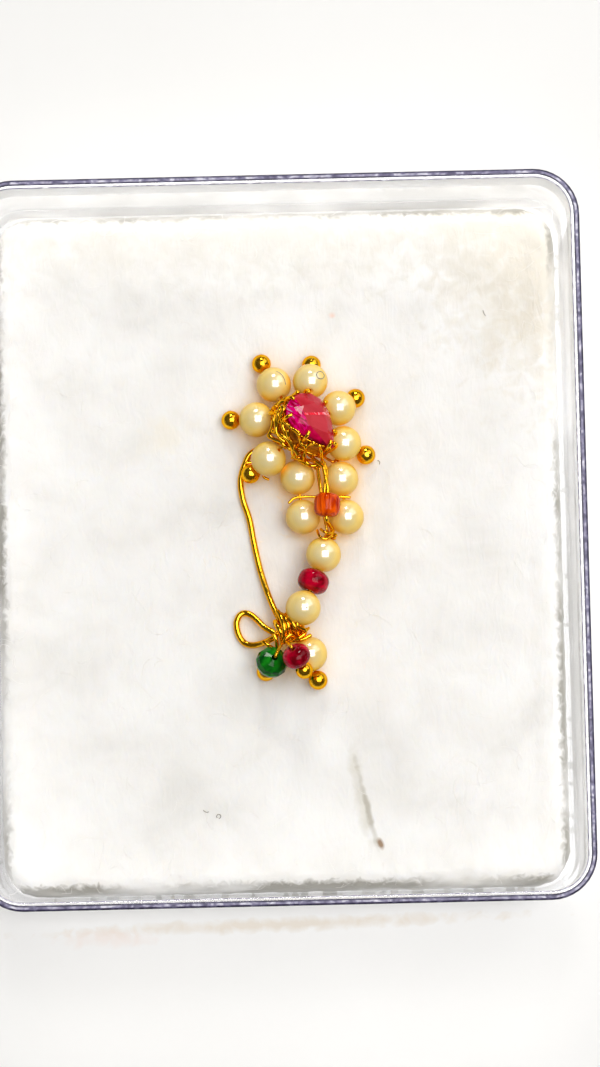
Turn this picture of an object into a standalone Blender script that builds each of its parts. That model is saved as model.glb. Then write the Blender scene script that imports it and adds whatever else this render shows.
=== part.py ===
"""A pearl nose pin lying on the cotton pad of an open clear plastic box.

Metres, +Z up. The origin is the middle of the box's underside and +Y runs along the box's length. The nose pin
is modelled in the frame of an empty that lies on the cotton at the middle of its flower. In that frame each
place in a table is a share of the pearls' diameter, and what rests on something takes its height from it.
"""

import math

import bmesh
import bpy
from mathutils import Vector

MM = 0.001
OBJECT_NAME = "nose_pin_in_box"

# Box and cotton
BOX_WIDTH = 67.0 * MM
BOX_LENGTH = 80.0 * MM
BOX_HEIGHT = 18.0 * MM
BOX_WALL = 1.0 * MM
BOX_CORNER = 5.0 * MM
BOX_TAPER = 1.0 * MM
BOX_FOOT_ROUND = 0.8 * MM
COTTON_THICKNESS = 7.7 * MM
COTTON_CLEARANCE = 0.3 * MM
COTTON_ROUND = 2.2 * MM

# Clearances of the nose pin
REST_GAP = 0.1 * MM
GAP = 0.06 * MM

# Wires
FINE_WIRE = 0.3 * MM
RING_WIRE = 0.4 * MM
STEM_WIRE = 0.45 * MM
THICK_WIRE = 0.68 * MM
RING_DIAMETER = 4.2 * MM
COIL_DIAMETER = 2.52 * MM
WRAP_DIAMETER = 1.4 * MM
FINE_BEND = 0.26 * MM
STEM_BEND = 0.42 * MM
HOLE_TO_BEND = 0.36 * MM
NO_BEND = math.radians(3)

# Pearls, balls and beads
PEARL_DIAMETER = 3.85 * MM
PEARL_BORE = 0.8 * MM
BALL_DIAMETER = 2.1 * MM
SMALL_BALL_DIAMETER = 1.9 * MM
BEAD_BORE = 0.7 * MM
ORANGE_BEAD_DIAMETER = 2.9 * MM
ORANGE_BEAD_LENGTH = 2.65 * MM
STEM_RED_DIAMETER = 3.45 * MM
STEM_RED_LENGTH = 2.5 * MM
DROP_RED_DIAMETER = 3.1 * MM
DROP_RED_LENGTH = 2.3 * MM
GREEN_BEAD_DIAMETER = 3.55 * MM
GREEN_BEAD_LENGTH = 2.6 * MM

# Stone and its claw setting
STONE_LENGTH = 7.1 * MM
STONE_WIDTH = 5.0 * MM
STONE_CROWN = 0.8 * MM
STONE_GIRDLE = 0.3 * MM
STONE_PAVILION = 1.3 * MM
SETTING_HEIGHT = 3.0 * MM
SETTING_WALL = 0.35 * MM
SETTING_INSET = 0.12 * MM
PRONG_WIDTH = 0.4 * MM
RING_DROP = 0.75 * MM
SETTING_TILT = math.radians(27)
SETTING_BEARING = math.radians(-52)

# Where the nose pin lies in the box, as shares of the box's width and length, and its turn from the box's axes
PIN_ACROSS = 0.035
PIN_ALONG = 0.1611
PIN_TURN = math.radians(-1.3)

# Sides of the round pieces
PEARL_SIDES = 16
BEAD_SIDES = 14
BALL_SIDES = 12
CORNER_STEPS = 7

# Bearings in degrees of the eyes of the stem wire and the second wire on the foot ring, and the turn of each eye
STEM_EYE_BEARING = -70.0
BACK_EYE_BEARING = -92.0
EYE_TURN = 290.0

# Middle of the stone above the flower, as shares of the pearls' diameter, and the room over the pearls under it
SEAT_ACROSS = 0.412
SEAT_ALONG = 0.010
SEAT_CLEAR = 0.51
HOOKED_BALL_LIFT = 0.6 * THICK_WIRE

# Petals round the flower: place of the pearl, way from it to its gold ball, how steeply that falls,
# and the bearing of the pin's eye on the ring. Reach is a share of the pearls' diameter.
PETALS = (
    # number, bearing, reach, ball_bearing, ball_fall, eye_bearing
    ("1", 120.0, 1.440, 119.0, 21.0, 122.0),
    ("2", 76.0, 1.340, 87.0, 45.0, 78.0),
    ("3", 25.6, 1.250, 36.0, 40.0, 27.0),
    ("4", -19.7, 1.363, -24.0, 29.0, -22.0),
    ("5", 169.0, 1.240, 178.0, 22.0, 163.0),
    ("6", -133.0, 1.272, -144.0, 36.0, -146.0),
)
HOOKED_PETAL = "6"

# Pearl pairs below the flower, as shares of the pearls' diameter
PAIR_PEARLS = (
    # number, across, along
    ("7", -0.043, -1.421),
    ("8", 1.198, -1.465),
    ("9", 0.114, -2.556),
    ("10", 1.356, -2.558),
)
SIDE_WIRES = (
    # name, upper pearl, lower pearl, eye bearing, bends below the ring (across, along, up)
    ("side_wire_left", "7", "9", -112.0, ((-0.200, -0.955, 1.150), (-0.150, -0.865, 0.790))),
    ("side_wire_right", "8", "10", -44.0, ((0.76, -0.86, 0.57), (0.97, -0.97, 0.46))),
)

# Orange bead and the stem below it, as shares of the pearls' diameter
ORANGE_BEAD_PLACE = (0.801, -2.297)
ORANGE_BEAD_BEARING = math.radians(-93)
STEM_PEARL_PLACE = (0.700, -3.667)
STEM_PEARL_LIFT = 0.25
STEM_BEARING = math.radians(-110.3)
STEM_RISE = math.radians(10.8)
STEM_GAP = 0.08 * MM

# Coil of the hook wire, measured from pearl 12
COIL_START_ACROSS = -0.600
COIL_BEARING = math.radians(8)
COIL_TURNS = 3.05

# Drops below the coil: place of each bead from the coil's middle as a share of the pearls' diameter
DROP_PEARL_PLACE = (0.500, -0.680)
DROP_PEARL_LIFT = 0.12
DROP_RED_PLACE = (0.123, -0.826)
DROP_GREEN_PLACE = (-0.578, -0.938)
DROP_BEARINGS = {"pearl": -72.0, "red": -59.0, "green": -128.0}
DROP_FALLS = {"pearl": 15.0, "red": 40.0, "green": 65.0}
DROP_WIRE_LIFT = 0.7

# Routes of the bent wires. Across and height are shares of the pearls' diameter. Along is a share of the way
# down from the flower's middle to the coil's start.
HOOK_ROUTE = (
    # across, along, height
    (-0.42, 0.062, 0.500),
    (-0.66, 0.072, 0.300),
    (-0.95, 0.085, 0.080),
    (-1.22, 0.099, 0.010),
    (-1.42, 0.123, 0.000),
    (-1.55, 0.170, 0.000),
    (-1.64, 0.218, 0.000),
    (-1.67, 0.262, 0.000),
    (-1.60, 0.342, 0.000),
    (-1.414, 0.440, 0.000),
    (-1.286, 0.554, 0.000),
    (-1.114, 0.683, 0.020),
    (-0.900, 0.800, 0.130),
    (-0.680, 0.895, 0.370),
)
# The loop's places are shares of its length and width, left of the coil's mouth, and of the coil's height
LOOP_LENGTH = 4.3 * MM
LOOP_WIDTH = 3.6 * MM
LOOP_ROUTE = (
    # out, side, height
    (0.00, 0.00, 1.00),
    (0.12, 0.07, 0.90),
    (0.28, 0.19, 0.68),
    (0.46, 0.41, 0.38),
    (0.64, 0.60, 0.12),
    (0.80, 0.655, 0.00),
    (0.92, 0.585, 0.00),
    (1.00, 0.370, 0.00),
    (0.98, 0.125, 0.00),
    (0.895, -0.125, 0.00),
    (0.770, -0.280, 0.05),
    (0.605, -0.335, 0.20),
    (0.450, -0.320, 0.45),
    (0.280, -0.270, 0.85),
    (0.130, -0.200, 1.30),
    (0.000, -0.130, 1.58),
)
# Fine wires, as shares of the pearls' diameter from the flower's middle, heights above the cotton
BACK_WIRE_ROUTE = (
    # across, along, up
    (0.485, -1.064, 0.780),
    (0.542, -1.396, 0.675),
    (0.620, -1.880, 0.600),
    (0.700, -2.250, 0.590),
    (0.740, -2.690, 0.640),
)
CROSS_WIRE_ROUTE = (
    (-0.285, -2.180, 0.760),
    (-0.142, -2.050, 0.760),
    (0.100, -2.008, 0.760),
    (0.600, -2.008, 0.745),
    (1.190, -2.012, 0.760),
    (1.456, -2.020, 0.760),
)
STEM_TURN_PLACE = (0.700, -1.190, 1.160)
STEM_TAIL_ROUTE = (
    # from the coil's middle
    (0.450, -0.060, 0.960),
    (0.210, -0.250, 0.975),
    (-0.040, -0.360, 0.935),
)
BINDING_ROUTE = (
    # bearing from the ball next to the hook wire, reach from its middle in ball radii
    (112.0, 1.27),
    (86.0, 1.25),
    (60.0, 1.25),
    (34.0, 1.25),
    (8.0, 1.26),
    (-12.0, 1.45),
    (-16.0, 1.95),
)
BINDING_DROP = 0.25

# Claws round the stone, as angles of the pear outline from its tip
CLAW_ANGLES = (14.0, 50.0, 106.0, 150.0, 192.0, 236.0, 284.0, 330.0)
POST_ANGLES = (70.0, 100.0, 258.0, 280.0)

OUTLINE_POINTS = 24
TABLE_SHARE = 0.56
KEEL_SHARE = 0.2
PEAR_WIDEST = 0.77

FINISHES = {
    # colour, roughness, metallic, transmission
    "clear_plastic": ((0.93, 0.93, 0.96), 0.05, 0.0, 0.9),
    "cotton": ((0.91, 0.89, 0.85), 1.0, 0.0, 0.0),
    "pearl": ((0.90, 0.80, 0.60), 0.22, 0.0, 0.0),
    "gold": ((0.83, 0.56, 0.10), 0.22, 1.0, 0.0),
    "orange_glass": ((0.85, 0.16, 0.01), 0.08, 0.0, 0.5),
    "red_glass": ((0.42, 0.0, 0.02), 0.06, 0.0, 0.4),
    "green_glass": ((0.0, 0.22, 0.05), 0.06, 0.0, 0.4),
    "pink_stone": ((0.70, 0.02, 0.16), 0.05, 0.0, 0.4),
}


def clear_scene():
    for old in list(bpy.data.objects):
        bpy.data.objects.remove(old, do_unlink=True)


def make_collection(name):
    home = bpy.data.collections.new(name)
    bpy.context.scene.collection.children.link(home)
    return home


def hide(guide):
    guide.hide_render = True
    guide.display_type = "WIRE"


def finish(name):
    """The part's own material, made once for each finish."""
    known = bpy.data.materials.get(name)
    if known:
        return known
    color, roughness, metallic, transmission = FINISHES[name]
    made = bpy.data.materials.new(name)
    made.use_nodes = True
    shader = made.node_tree.nodes["Principled BSDF"]
    shader.inputs["Base Color"].default_value = (*color, 1.0)
    shader.inputs["Roughness"].default_value = roughness
    shader.inputs["Metallic"].default_value = metallic
    shader.inputs["Transmission Weight"].default_value = transmission
    return made


def add_piece(home, name, data, look, parent=None, place=(0, 0, 0)):
    piece = bpy.data.objects.new(name, data)
    home.objects.link(piece)
    piece.location = place
    piece.parent = parent
    data.materials.append(finish(look))
    return piece


def add_empty(home, name, place, turn, parent=None):
    guide = bpy.data.objects.new(name, None)
    home.objects.link(guide)
    guide.location = place
    guide.rotation_euler = turn
    guide.parent = parent
    return guide


def direction(bearing, rise=0.0):
    """Unit vector from a bearing in the cotton's plane and a rise above it, both in radians."""
    flat = math.cos(rise)
    return Vector((flat * math.cos(bearing), flat * math.sin(bearing), math.sin(rise)))


def height_over(place, reach, supports):
    """Height at which a round piece of this reach clears each support, given as centre and radius."""
    height = REST_GAP + reach
    for centre, radius in supports:
        apart = math.hypot(place[0] - centre[0], place[1] - centre[1])
        clear = reach + radius + GAP
        if apart < clear:
            height = max(height, centre[2] + math.sqrt(clear ** 2 - apart ** 2))
    return height


def smooth_path(points, steps):
    """Points of a centripetal Catmull-Rom curve through the given ones, with the same number of steps in each span."""
    ends = [2 * points[0] - points[1]] + list(points) + [2 * points[-1] - points[-2]]
    path = []
    for before, start, stop, after in zip(ends, ends[1:], ends[2:], ends[3:]):
        first, middle, last = (math.sqrt((b - a).length) for a, b in ((before, start), (start, stop), (stop, after)))
        leave = (start - before) / first - (stop - before) / (first + middle) + (stop - start) / middle
        arrive = (stop - start) / middle - (after - start) / (middle + last) + (after - stop) / last
        for step in range(steps):
            t = step / steps
            path.append(
                start * (2 * t ** 3 - 3 * t ** 2 + 1)
                + leave * middle * (t ** 3 - 2 * t ** 2 + t)
                + stop * (3 * t ** 2 - 2 * t ** 3)
                + arrive * middle * (t ** 3 - t ** 2)
            )
    path.append(points[-1])
    return path


def bent_path(points, radius, steps):
    """Straight stretches of wire between the points, with a round bend of this radius at each corner."""
    path = [points[0]]
    for before, corner, after in zip(points, points[1:], points[2:]):
        back = (before - corner).normalized()
        ahead = (after - corner).normalized()
        turn = math.pi - back.angle(ahead)
        if turn < NO_BEND:
            path.append(corner)
            continue
        spare = 0.48 * min((before - corner).length, (after - corner).length)
        fits = min(radius, spare / math.tan(turn / 2))
        centre = corner + (back + ahead).normalized() * (fits / math.cos(turn / 2))
        start = corner + back * (fits * math.tan(turn / 2)) - centre
        for step in range(steps + 1):
            angle = turn * step / steps
            path.append(centre + start * math.cos(angle) - back * (fits * math.sin(angle)))
    path.append(points[-1])
    return path


def wire(home, name, path, thickness, parent, look="gold"):
    curve = bpy.data.curves.new(name, "CURVE")
    curve.dimensions = "3D"
    curve.bevel_depth = thickness / 2
    curve.bevel_resolution = 2 if thickness > STEM_WIRE else 1
    curve.use_fill_caps = True
    spline = curve.splines.new("POLY")
    spline.points.add(len(path) - 1)
    for point, place in zip(spline.points, path):
        point.co = (*place, 1.0)
    spline.use_smooth = True
    return add_piece(home, name, curve, look, parent)


def turned(home, name, profile, sides, look, parent, place, axis, hollow):
    """A profile at +X turned about its own Z, which then points along the axis."""
    mesh = bpy.data.meshes.new(name)
    edges = [(i, i + 1) for i in range(len(profile) - 1)]
    if hollow:
        edges.append((len(profile) - 1, 0))
    mesh.from_pydata([(x, 0.0, z) for x, z in profile], edges, [])
    piece = add_piece(home, name, mesh, look, parent, place)
    piece.rotation_euler = axis.to_track_quat("Z", "Y").to_euler()
    turn = piece.modifiers.new("turn", "SCREW")
    turn.axis = "Z"
    turn.angle = math.tau
    turn.steps = sides
    turn.render_steps = sides
    turn.use_merge_vertices = not hollow
    turn.merge_threshold = 0.001 * MM
    return piece


def bead_profile(diameter, length, bore, squareness, steps):
    """Outer side of a drilled bead, top to bottom. Squareness 2 is an ellipse, and more is a barrel."""
    first = math.asin((bore / diameter) ** (squareness / 2))
    profile = []
    for step in range(steps + 1):
        angle = first + (math.pi - 2 * first) * step / steps
        along = math.cos(angle)
        out = diameter / 2 * math.sin(angle) ** (2 / squareness)
        up = length / 2 * math.copysign(abs(along) ** (2 / squareness), along)
        profile.append((out, up))
    return profile


def bead(home, name, place, axis, diameter, length, look, parent, squareness=2.0, sides=BEAD_SIDES, steps=8,
         bore=BEAD_BORE):
    profile = bead_profile(diameter, length, bore, squareness, steps)
    return turned(home, name, profile, sides, look, parent, place, axis, hollow=True)


def pearl(home, number, place, axis, parent):
    return bead(home, f"pearl_{number:0>2}", place, axis, PEARL_DIAMETER, PEARL_DIAMETER, "pearl", parent,
                sides=PEARL_SIDES, bore=PEARL_BORE)


def gold_ball(home, number, place, outward, diameter, parent):
    """A ball on the tip of a wire, with a blind bore that faces the piece before it."""
    radius = diameter / 2
    bore = BEAD_BORE / 2
    mouth = math.asin(bore / radius)
    steps = 7
    profile = []
    for step in range(steps + 1):
        angle = (math.pi - mouth) * step / steps
        profile.append((radius * math.sin(angle), radius * math.cos(angle)))
    profile[0] = (0.0, radius)
    profile.append((bore, 0.0))
    profile.append((0.0, 0.0))
    return turned(home, f"gold_ball_{number}", profile, BALL_SIDES, "gold", parent, place, outward, hollow=False)


def tapered_block(name, wall, bottom, top):
    """Mesh of a rounded block with the box's slanted sides, this far inside its outer faces."""
    model = bmesh.new()
    bmesh.ops.create_cube(model, size=1.0)
    for point in model.verts:
        height = bottom if point.co.z < 0 else top
        narrow = wall + BOX_TAPER * (1 - height / BOX_HEIGHT)
        point.co.x *= BOX_WIDTH - 2 * narrow
        point.co.y *= BOX_LENGTH - 2 * narrow
        point.co.z = height
    middle = (bottom + top) / 2
    uprights = [edge for edge in model.edges if (edge.verts[0].co.z < middle) != (edge.verts[1].co.z < middle)]
    bmesh.ops.bevel(model, geom=uprights, offset=BOX_CORNER - wall, segments=CORNER_STEPS, profile=0.5, affect="EDGES")
    foot = [edge for edge in model.edges if all(point.co.z < middle for point in edge.verts)]
    bmesh.ops.bevel(model, geom=foot, offset=BOX_FOOT_ROUND, segments=2, profile=0.5, affect="EDGES")
    mesh = bpy.data.meshes.new(name)
    model.to_mesh(mesh)
    model.free()
    return mesh


def tray_box(home, cutters):
    """An open rounded tray that narrows a little towards its flat underside."""
    piece = add_piece(home, "box_tray", tapered_block("box_tray", 0.0, 0.0, BOX_HEIGHT), "clear_plastic")
    above = BOX_HEIGHT + BOX_WALL
    room = add_piece(cutters, "box_room", tapered_block("box_room", BOX_WALL, BOX_WALL, above), "clear_plastic")
    hide(room)
    hollow = piece.modifiers.new("hollow", "BOOLEAN")
    hollow.operation = "DIFFERENCE"
    hollow.solver = "EXACT"
    hollow.object = room
    return piece


def cotton_pad(home):
    """A pad of wadding with a flat top and soft edges, which fills the tray from wall to wall."""
    inset = BOX_TAPER + BOX_WALL + COTTON_CLEARANCE + BOX_FOOT_ROUND / 4
    width = BOX_WIDTH - 2 * inset
    length = BOX_LENGTH - 2 * inset
    bottom = BOX_WALL + COTTON_CLEARANCE
    model = bmesh.new()
    bmesh.ops.create_cube(model, size=1.0)
    for point in model.verts:
        point.co.x *= width
        point.co.y *= length
        point.co.z *= COTTON_THICKNESS
    uprights = [edge for edge in model.edges if abs(edge.verts[0].co.z - edge.verts[1].co.z) > COTTON_THICKNESS / 2]
    corner = BOX_CORNER - BOX_WALL
    bmesh.ops.bevel(model, geom=uprights, offset=corner, segments=CORNER_STEPS, profile=0.5, affect="EDGES")
    level = COTTON_THICKNESS * 0.499
    upper = [edge for edge in model.edges if all(point.co.z > level for point in edge.verts)]
    bmesh.ops.bevel(model, geom=upper, offset=COTTON_ROUND, segments=4, profile=0.5, affect="EDGES")
    lower = [edge for edge in model.edges if all(point.co.z < -level for point in edge.verts)]
    bmesh.ops.bevel(model, geom=lower, offset=BOX_FOOT_ROUND, segments=2, profile=0.5, affect="EDGES")
    mesh = bpy.data.meshes.new("cotton_pad")
    model.to_mesh(mesh)
    model.free()
    return add_piece(home, "cotton_pad", mesh, "cotton", place=(0, 0, bottom + COTTON_THICKNESS / 2))


def pear_point(angle, inset=0.0):
    """Point of the stone's pear outline at an angle in degrees from its tip, moved in by the inset."""
    turn = math.radians(angle)
    half_length = STONE_LENGTH / 2 - inset
    half_width = STONE_WIDTH / 2 - inset
    side = math.sin(turn) * abs(math.sin(turn / 2)) / PEAR_WIDEST
    return Vector((half_length * math.cos(turn), half_width * side, 0.0))


def pear_outward(angle):
    ahead = pear_point(angle + 2) - pear_point(angle - 2)
    return Vector((ahead.y, -ahead.x, 0.0)).normalized()


def stone_piece(home, seat):
    """A pear-cut stone: a table, a crown with kite and star facets, a girdle and a pavilion down to a short keel."""
    around = 16
    model = bmesh.new()

    def ring(count, share, height):
        points = []
        for step in range(count):
            point = pear_point(360.0 * (step + 0.25) / count)
            points.append(model.verts.new((point.x * share, point.y * share, height)))
        return points

    half = STONE_GIRDLE / 2
    table = ring(around // 2, TABLE_SHARE, half + STONE_CROWN)
    upper = ring(around, 1.0, half)
    lower = ring(around, 1.0, -half)
    keel = ring(around // 2, KEEL_SHARE, -half - STONE_PAVILION)
    model.faces.new(table)
    model.faces.new(reversed(keel))
    for i in range(around):
        j = (i + 1) % around
        model.faces.new((upper[j], upper[i], lower[i], lower[j]))
    for i in range(around // 2):
        j = (i + 1) % (around // 2)
        near, middle, far = 2 * i, 2 * i + 1, (2 * i + 2) % around
        model.faces.new((table[i], upper[near], upper[middle]))
        model.faces.new((table[i], upper[middle], table[j]))
        model.faces.new((table[j], upper[middle], upper[far]))
        model.faces.new((keel[i], lower[middle], lower[near]))
        model.faces.new((keel[i], keel[j], lower[middle]))
        model.faces.new((keel[j], lower[far], lower[middle]))
    mesh = bpy.data.meshes.new("pear_stone")
    bmesh.ops.recalc_face_normals(model, faces=model.faces)
    model.to_mesh(mesh)
    model.free()
    return add_piece(home, "pear_stone", mesh, "pink_stone", seat)


def plain_mesh(home, piece, name):
    """The curve object as a mesh object with its caps welded on."""
    bpy.context.view_layer.update()
    shown = piece.evaluated_get(bpy.context.evaluated_depsgraph_get())
    mesh = bpy.data.meshes.new_from_object(shown)
    model = bmesh.new()
    model.from_mesh(mesh)
    bmesh.ops.remove_doubles(model, verts=model.verts, dist=0.001 * MM)
    bmesh.ops.recalc_face_normals(model, faces=model.faces)
    model.to_mesh(mesh)
    model.free()
    solid = bpy.data.objects.new(name, mesh)
    home.objects.link(solid)
    solid.parent = piece.parent
    solid.matrix_basis = piece.matrix_basis
    bpy.data.objects.remove(piece, do_unlink=True)
    return solid


def pear_wall(home, seat, wall_top):
    """The gallery: a pear-shaped tube from the setting's foot to just under the girdle."""
    curve = bpy.data.curves.new("gallery", "CURVE")
    curve.dimensions = "2D"
    curve.fill_mode = "BOTH"
    for inset in (SETTING_INSET, SETTING_INSET + SETTING_WALL):
        spline = curve.splines.new("POLY")
        spline.points.add(OUTLINE_POINTS - 1)
        for step, point in enumerate(spline.points):
            point.co = (*pear_point(360.0 * (step + 0.5) / OUTLINE_POINTS, inset), 1.0)
        spline.use_cyclic_u = True
    height = SETTING_HEIGHT + wall_top
    curve.extrude = height / 2
    return add_piece(home, "gallery", curve, "gold", seat, (0, 0, wall_top - height / 2))


def claw_path(angle):
    """One claw: up the gallery's outside, past the girdle and over the crown's edge."""
    foot = pear_point(angle, SETTING_INSET)
    edge = pear_point(angle)
    out = pear_outward(angle)
    half = PRONG_WIDTH / 2
    past = half + GAP
    brow = STONE_GIRDLE / 2
    lift = Vector((0, 0, 1))
    return [
        foot - lift * SETTING_HEIGHT,
        foot - lift * SETTING_HEIGHT * 0.55 + out * half * 0.5,
        edge + out * past - lift * (brow + half),
        edge + out * past + lift * brow,
        edge + out * half * 0.4 + lift * (brow + past + half),
        edge - out * half * 1.3 + lift * (brow + past + half * 1.9),
    ]


def claw_setting(home, cutters, seat):
    """Gallery, claws, foot ring and its posts, soldered into one piece."""
    inner_share = 1 - 2 * (SETTING_INSET + SETTING_WALL) / STONE_WIDTH
    sunk = STONE_PAVILION * (1 - inner_share) / (1 - KEEL_SHARE)
    wall_top = -(STONE_GIRDLE / 2 + sunk + GAP)
    setting = plain_mesh(home, pear_wall(home, seat, wall_top), "claw_setting")
    extras = []
    for angle in CLAW_ANGLES:
        extras.append(wire(home, "claw", claw_path(angle), PRONG_WIDTH, seat))
    ring_height = -SETTING_HEIGHT - RING_DROP
    ring = wire(home, "foot_ring", ring_path(ring_height), RING_WIRE, seat)
    ring.data.splines[0].use_cyclic_u = True
    extras.append(ring)
    for angle in POST_ANGLES:
        top = pear_point(angle, SETTING_INSET + SETTING_WALL / 2)
        low = top.normalized() * (RING_DIAMETER / 2)
        low.z = ring_height
        top.z = RING_WIRE - SETTING_HEIGHT
        extras.append(wire(home, "post", [low, top], SETTING_WALL, seat))
    for extra in extras:
        solid = plain_mesh(cutters, extra, "soldered")
        hide(solid)
        union = setting.modifiers.new("solder", "BOOLEAN")
        union.operation = "UNION"
        union.solver = "EXACT"
        union.object = solid
    return setting


def ring_path(height):
    count = 28
    path = []
    for step in range(count):
        turn = math.tau * step / count
        path.append(Vector((RING_DIAMETER / 2 * math.cos(turn), RING_DIAMETER / 2 * math.sin(turn), height)))
    return path


def seat_axes():
    """The seat's own axes in the nose pin's frame: along the stone, across it, and out of its table."""
    along = direction(SETTING_BEARING)
    across_flat = direction(SETTING_BEARING + math.pi / 2)
    up = Vector((0, 0, 1))
    across = across_flat * math.cos(SETTING_TILT) - up * math.sin(SETTING_TILT)
    normal = across_flat * math.sin(SETTING_TILT) + up * math.cos(SETTING_TILT)
    return along, across, normal


def pear_reach(turn):
    """Distance of the gallery's outside from the seat's axis in the direction of this turn."""
    aim = Vector((math.cos(turn), math.sin(turn), 0.0))
    points = [pear_point(angle, SETTING_INSET) for angle in range(0, 360, 5)]
    return max(points, key=lambda point: point.normalized().dot(aim)).length


def eye_path(ring_centre, bearing, thickness):
    """An eye round the setting's foot ring. It starts at its top, where the wire arrives from outside."""
    along, across, normal = seat_axes()
    turn = math.radians(bearing) - SETTING_BEARING
    outward = along * math.cos(turn) + across * math.sin(turn)
    tangent = across * math.cos(turn) - along * math.sin(turn)
    on_ring = ring_centre + outward * (RING_DIAMETER / 2)
    reach = (RING_WIRE + thickness) / 2 + GAP
    past_wall = pear_reach(turn) - RING_DIAMETER / 2 + thickness
    arrival = on_ring + normal * reach + outward * max(past_wall, reach * 1.6)
    path = [arrival]
    steps = 9
    for step in range(steps + 1):
        share = step / steps
        angle = math.pi / 2 + math.radians(EYE_TURN) * share
        path.append(
            on_ring
            + (outward * math.cos(angle) + normal * math.sin(angle)) * reach
            + tangent * (thickness + GAP) * share
        )
    return path


def flower_places():
    """Pearl, ball and way outward of each petal, from the ball that rests up."""
    chain = (PEARL_DIAMETER + BALL_DIAMETER) / 2 + GAP
    places = {}
    for number, bearing, reach, ball_bearing, ball_fall, eye_bearing in PETALS:
        flat = direction(math.radians(bearing)) * reach * PEARL_DIAMETER
        outward = direction(math.radians(ball_bearing), -math.radians(ball_fall))
        ball_height = REST_GAP + BALL_DIAMETER / 2
        if number == HOOKED_PETAL:
            ball_height += HOOKED_BALL_LIFT
        centre = Vector((flat.x, flat.y, ball_height)) - Vector((0, 0, outward.z * chain))
        places[number] = (centre, centre + outward * chain, outward, eye_bearing)
    return places


def seat_place(flower):
    """Middle of the stone: high enough for its low side to clear the pearls under it."""
    tallest = max(flower[number][0].z for number in ("2", "3", "4"))
    low_side = (STONE_WIDTH / 2 + PRONG_WIDTH) * math.sin(SETTING_TILT)
    height = tallest + PEARL_DIAMETER * SEAT_CLEAR + low_side
    return Vector((PEARL_DIAMETER * SEAT_ACROSS, PEARL_DIAMETER * SEAT_ALONG, height))


def petals(home, pin, flower, ring_centre):
    for number, (centre, ball, outward, eye_bearing) in flower.items():
        pearl(home, number, centre, outward, pin)
        gold_ball(home, number, ball, outward, BALL_DIAMETER, pin)
        eye = eye_path(ring_centre, eye_bearing, FINE_WIRE)
        tip = ball - outward * GAP
        mouth = centre - outward * (PEARL_DIAMETER / 2 + HOLE_TO_BEND)
        path = bent_path([tip, mouth, eye[0], eye[1]], FINE_BEND, 3)
        wire(home, f"petal_pin_{number}", path + eye[2:], FINE_WIRE, pin)


def pairs_places():
    height = REST_GAP + PEARL_DIAMETER / 2
    return {number: Vector((across * PEARL_DIAMETER, along * PEARL_DIAMETER, height))
            for number, across, along in PAIR_PEARLS}


def pairs(home, pin, places, ring_centre):
    """The four pearls below the flower, each side on its own wire, and the wire laid across between them."""
    for name, upper, lower, eye_bearing, bends in SIDE_WIRES:
        way = (places[lower] - places[upper]).normalized()
        pearl(home, upper, places[upper], way, pin)
        pearl(home, lower, places[lower], way, pin)
        eye = eye_path(ring_centre, eye_bearing, FINE_WIRE)
        mouth = places[upper] - way * (PEARL_DIAMETER / 2 + HOLE_TO_BEND)
        between = [Vector(row) * PEARL_DIAMETER for row in bends]
        end = places[lower] + way * (PEARL_DIAMETER * 0.4)
        path = bent_path([eye[1], eye[0]] + between + [mouth, end], FINE_BEND, 3)
        wire(home, name, list(reversed(eye[2:])) + path, FINE_WIRE, pin)
    route = [Vector(row) * PEARL_DIAMETER for row in CROSS_WIRE_ROUTE]
    wire(home, "cross_wire", smooth_path(route, 3), FINE_WIRE, pin)


def orange_bead_place(pair_places):
    across, along = (share * PEARL_DIAMETER for share in ORANGE_BEAD_PLACE)
    height = REST_GAP + ORANGE_BEAD_DIAMETER / 2
    clear = (ORANGE_BEAD_DIAMETER + PEARL_DIAMETER) / 2 + GAP
    for centre in pair_places.values():
        beside = abs(centre.x - across)
        if abs(centre.y - along) < PEARL_DIAMETER / 2 and beside < clear:
            height = max(height, centre.z + math.sqrt(clear ** 2 - beside ** 2))
    return Vector((across, along, height))


def stem_places():
    """Pearl 11, the red bead and pearl 12 on one straight stretch of wire."""
    rest = REST_GAP + PEARL_DIAMETER / 2
    way = direction(STEM_BEARING, STEM_RISE)
    first = Vector((STEM_PEARL_PLACE[0], STEM_PEARL_PLACE[1], STEM_PEARL_LIFT)) * PEARL_DIAMETER
    first.z += rest
    half = (PEARL_DIAMETER + STEM_RED_LENGTH) / 2 + STEM_GAP
    return first, first + way * half, first + way * 2 * half, way


def coil_frame(last_pearl):
    """Start of the coil's axis under pearl 12, its direction, and its middle."""
    height = REST_GAP + FINE_WIRE + GAP + COIL_DIAMETER / 2
    clear = (PEARL_DIAMETER + COIL_DIAMETER) / 2 + GAP
    above = last_pearl.z - height
    below_pearl = math.sqrt(max(clear ** 2 - above ** 2, 0.0))
    axis = direction(COIL_BEARING)
    under = Vector((last_pearl.x, last_pearl.y - below_pearl / math.cos(COIL_BEARING), height))
    start = under + axis * (COIL_START_ACROSS * PEARL_DIAMETER / math.cos(COIL_BEARING))
    pitch = THICK_WIRE + GAP
    middle = start + axis * (pitch * (COIL_TURNS - 0.05) / 2)
    return start, axis, pitch, middle


def round_coil(centre, axis, reach, angle):
    """Point beside the coil's axis: 0 degrees is its far side, 90 its top and 180 its near side."""
    turn = math.radians(angle)
    far = Vector((-axis.y, axis.x, 0.0))
    return centre + (far * math.cos(turn) + Vector((0, 0, 1)) * math.sin(turn)) * reach


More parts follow.
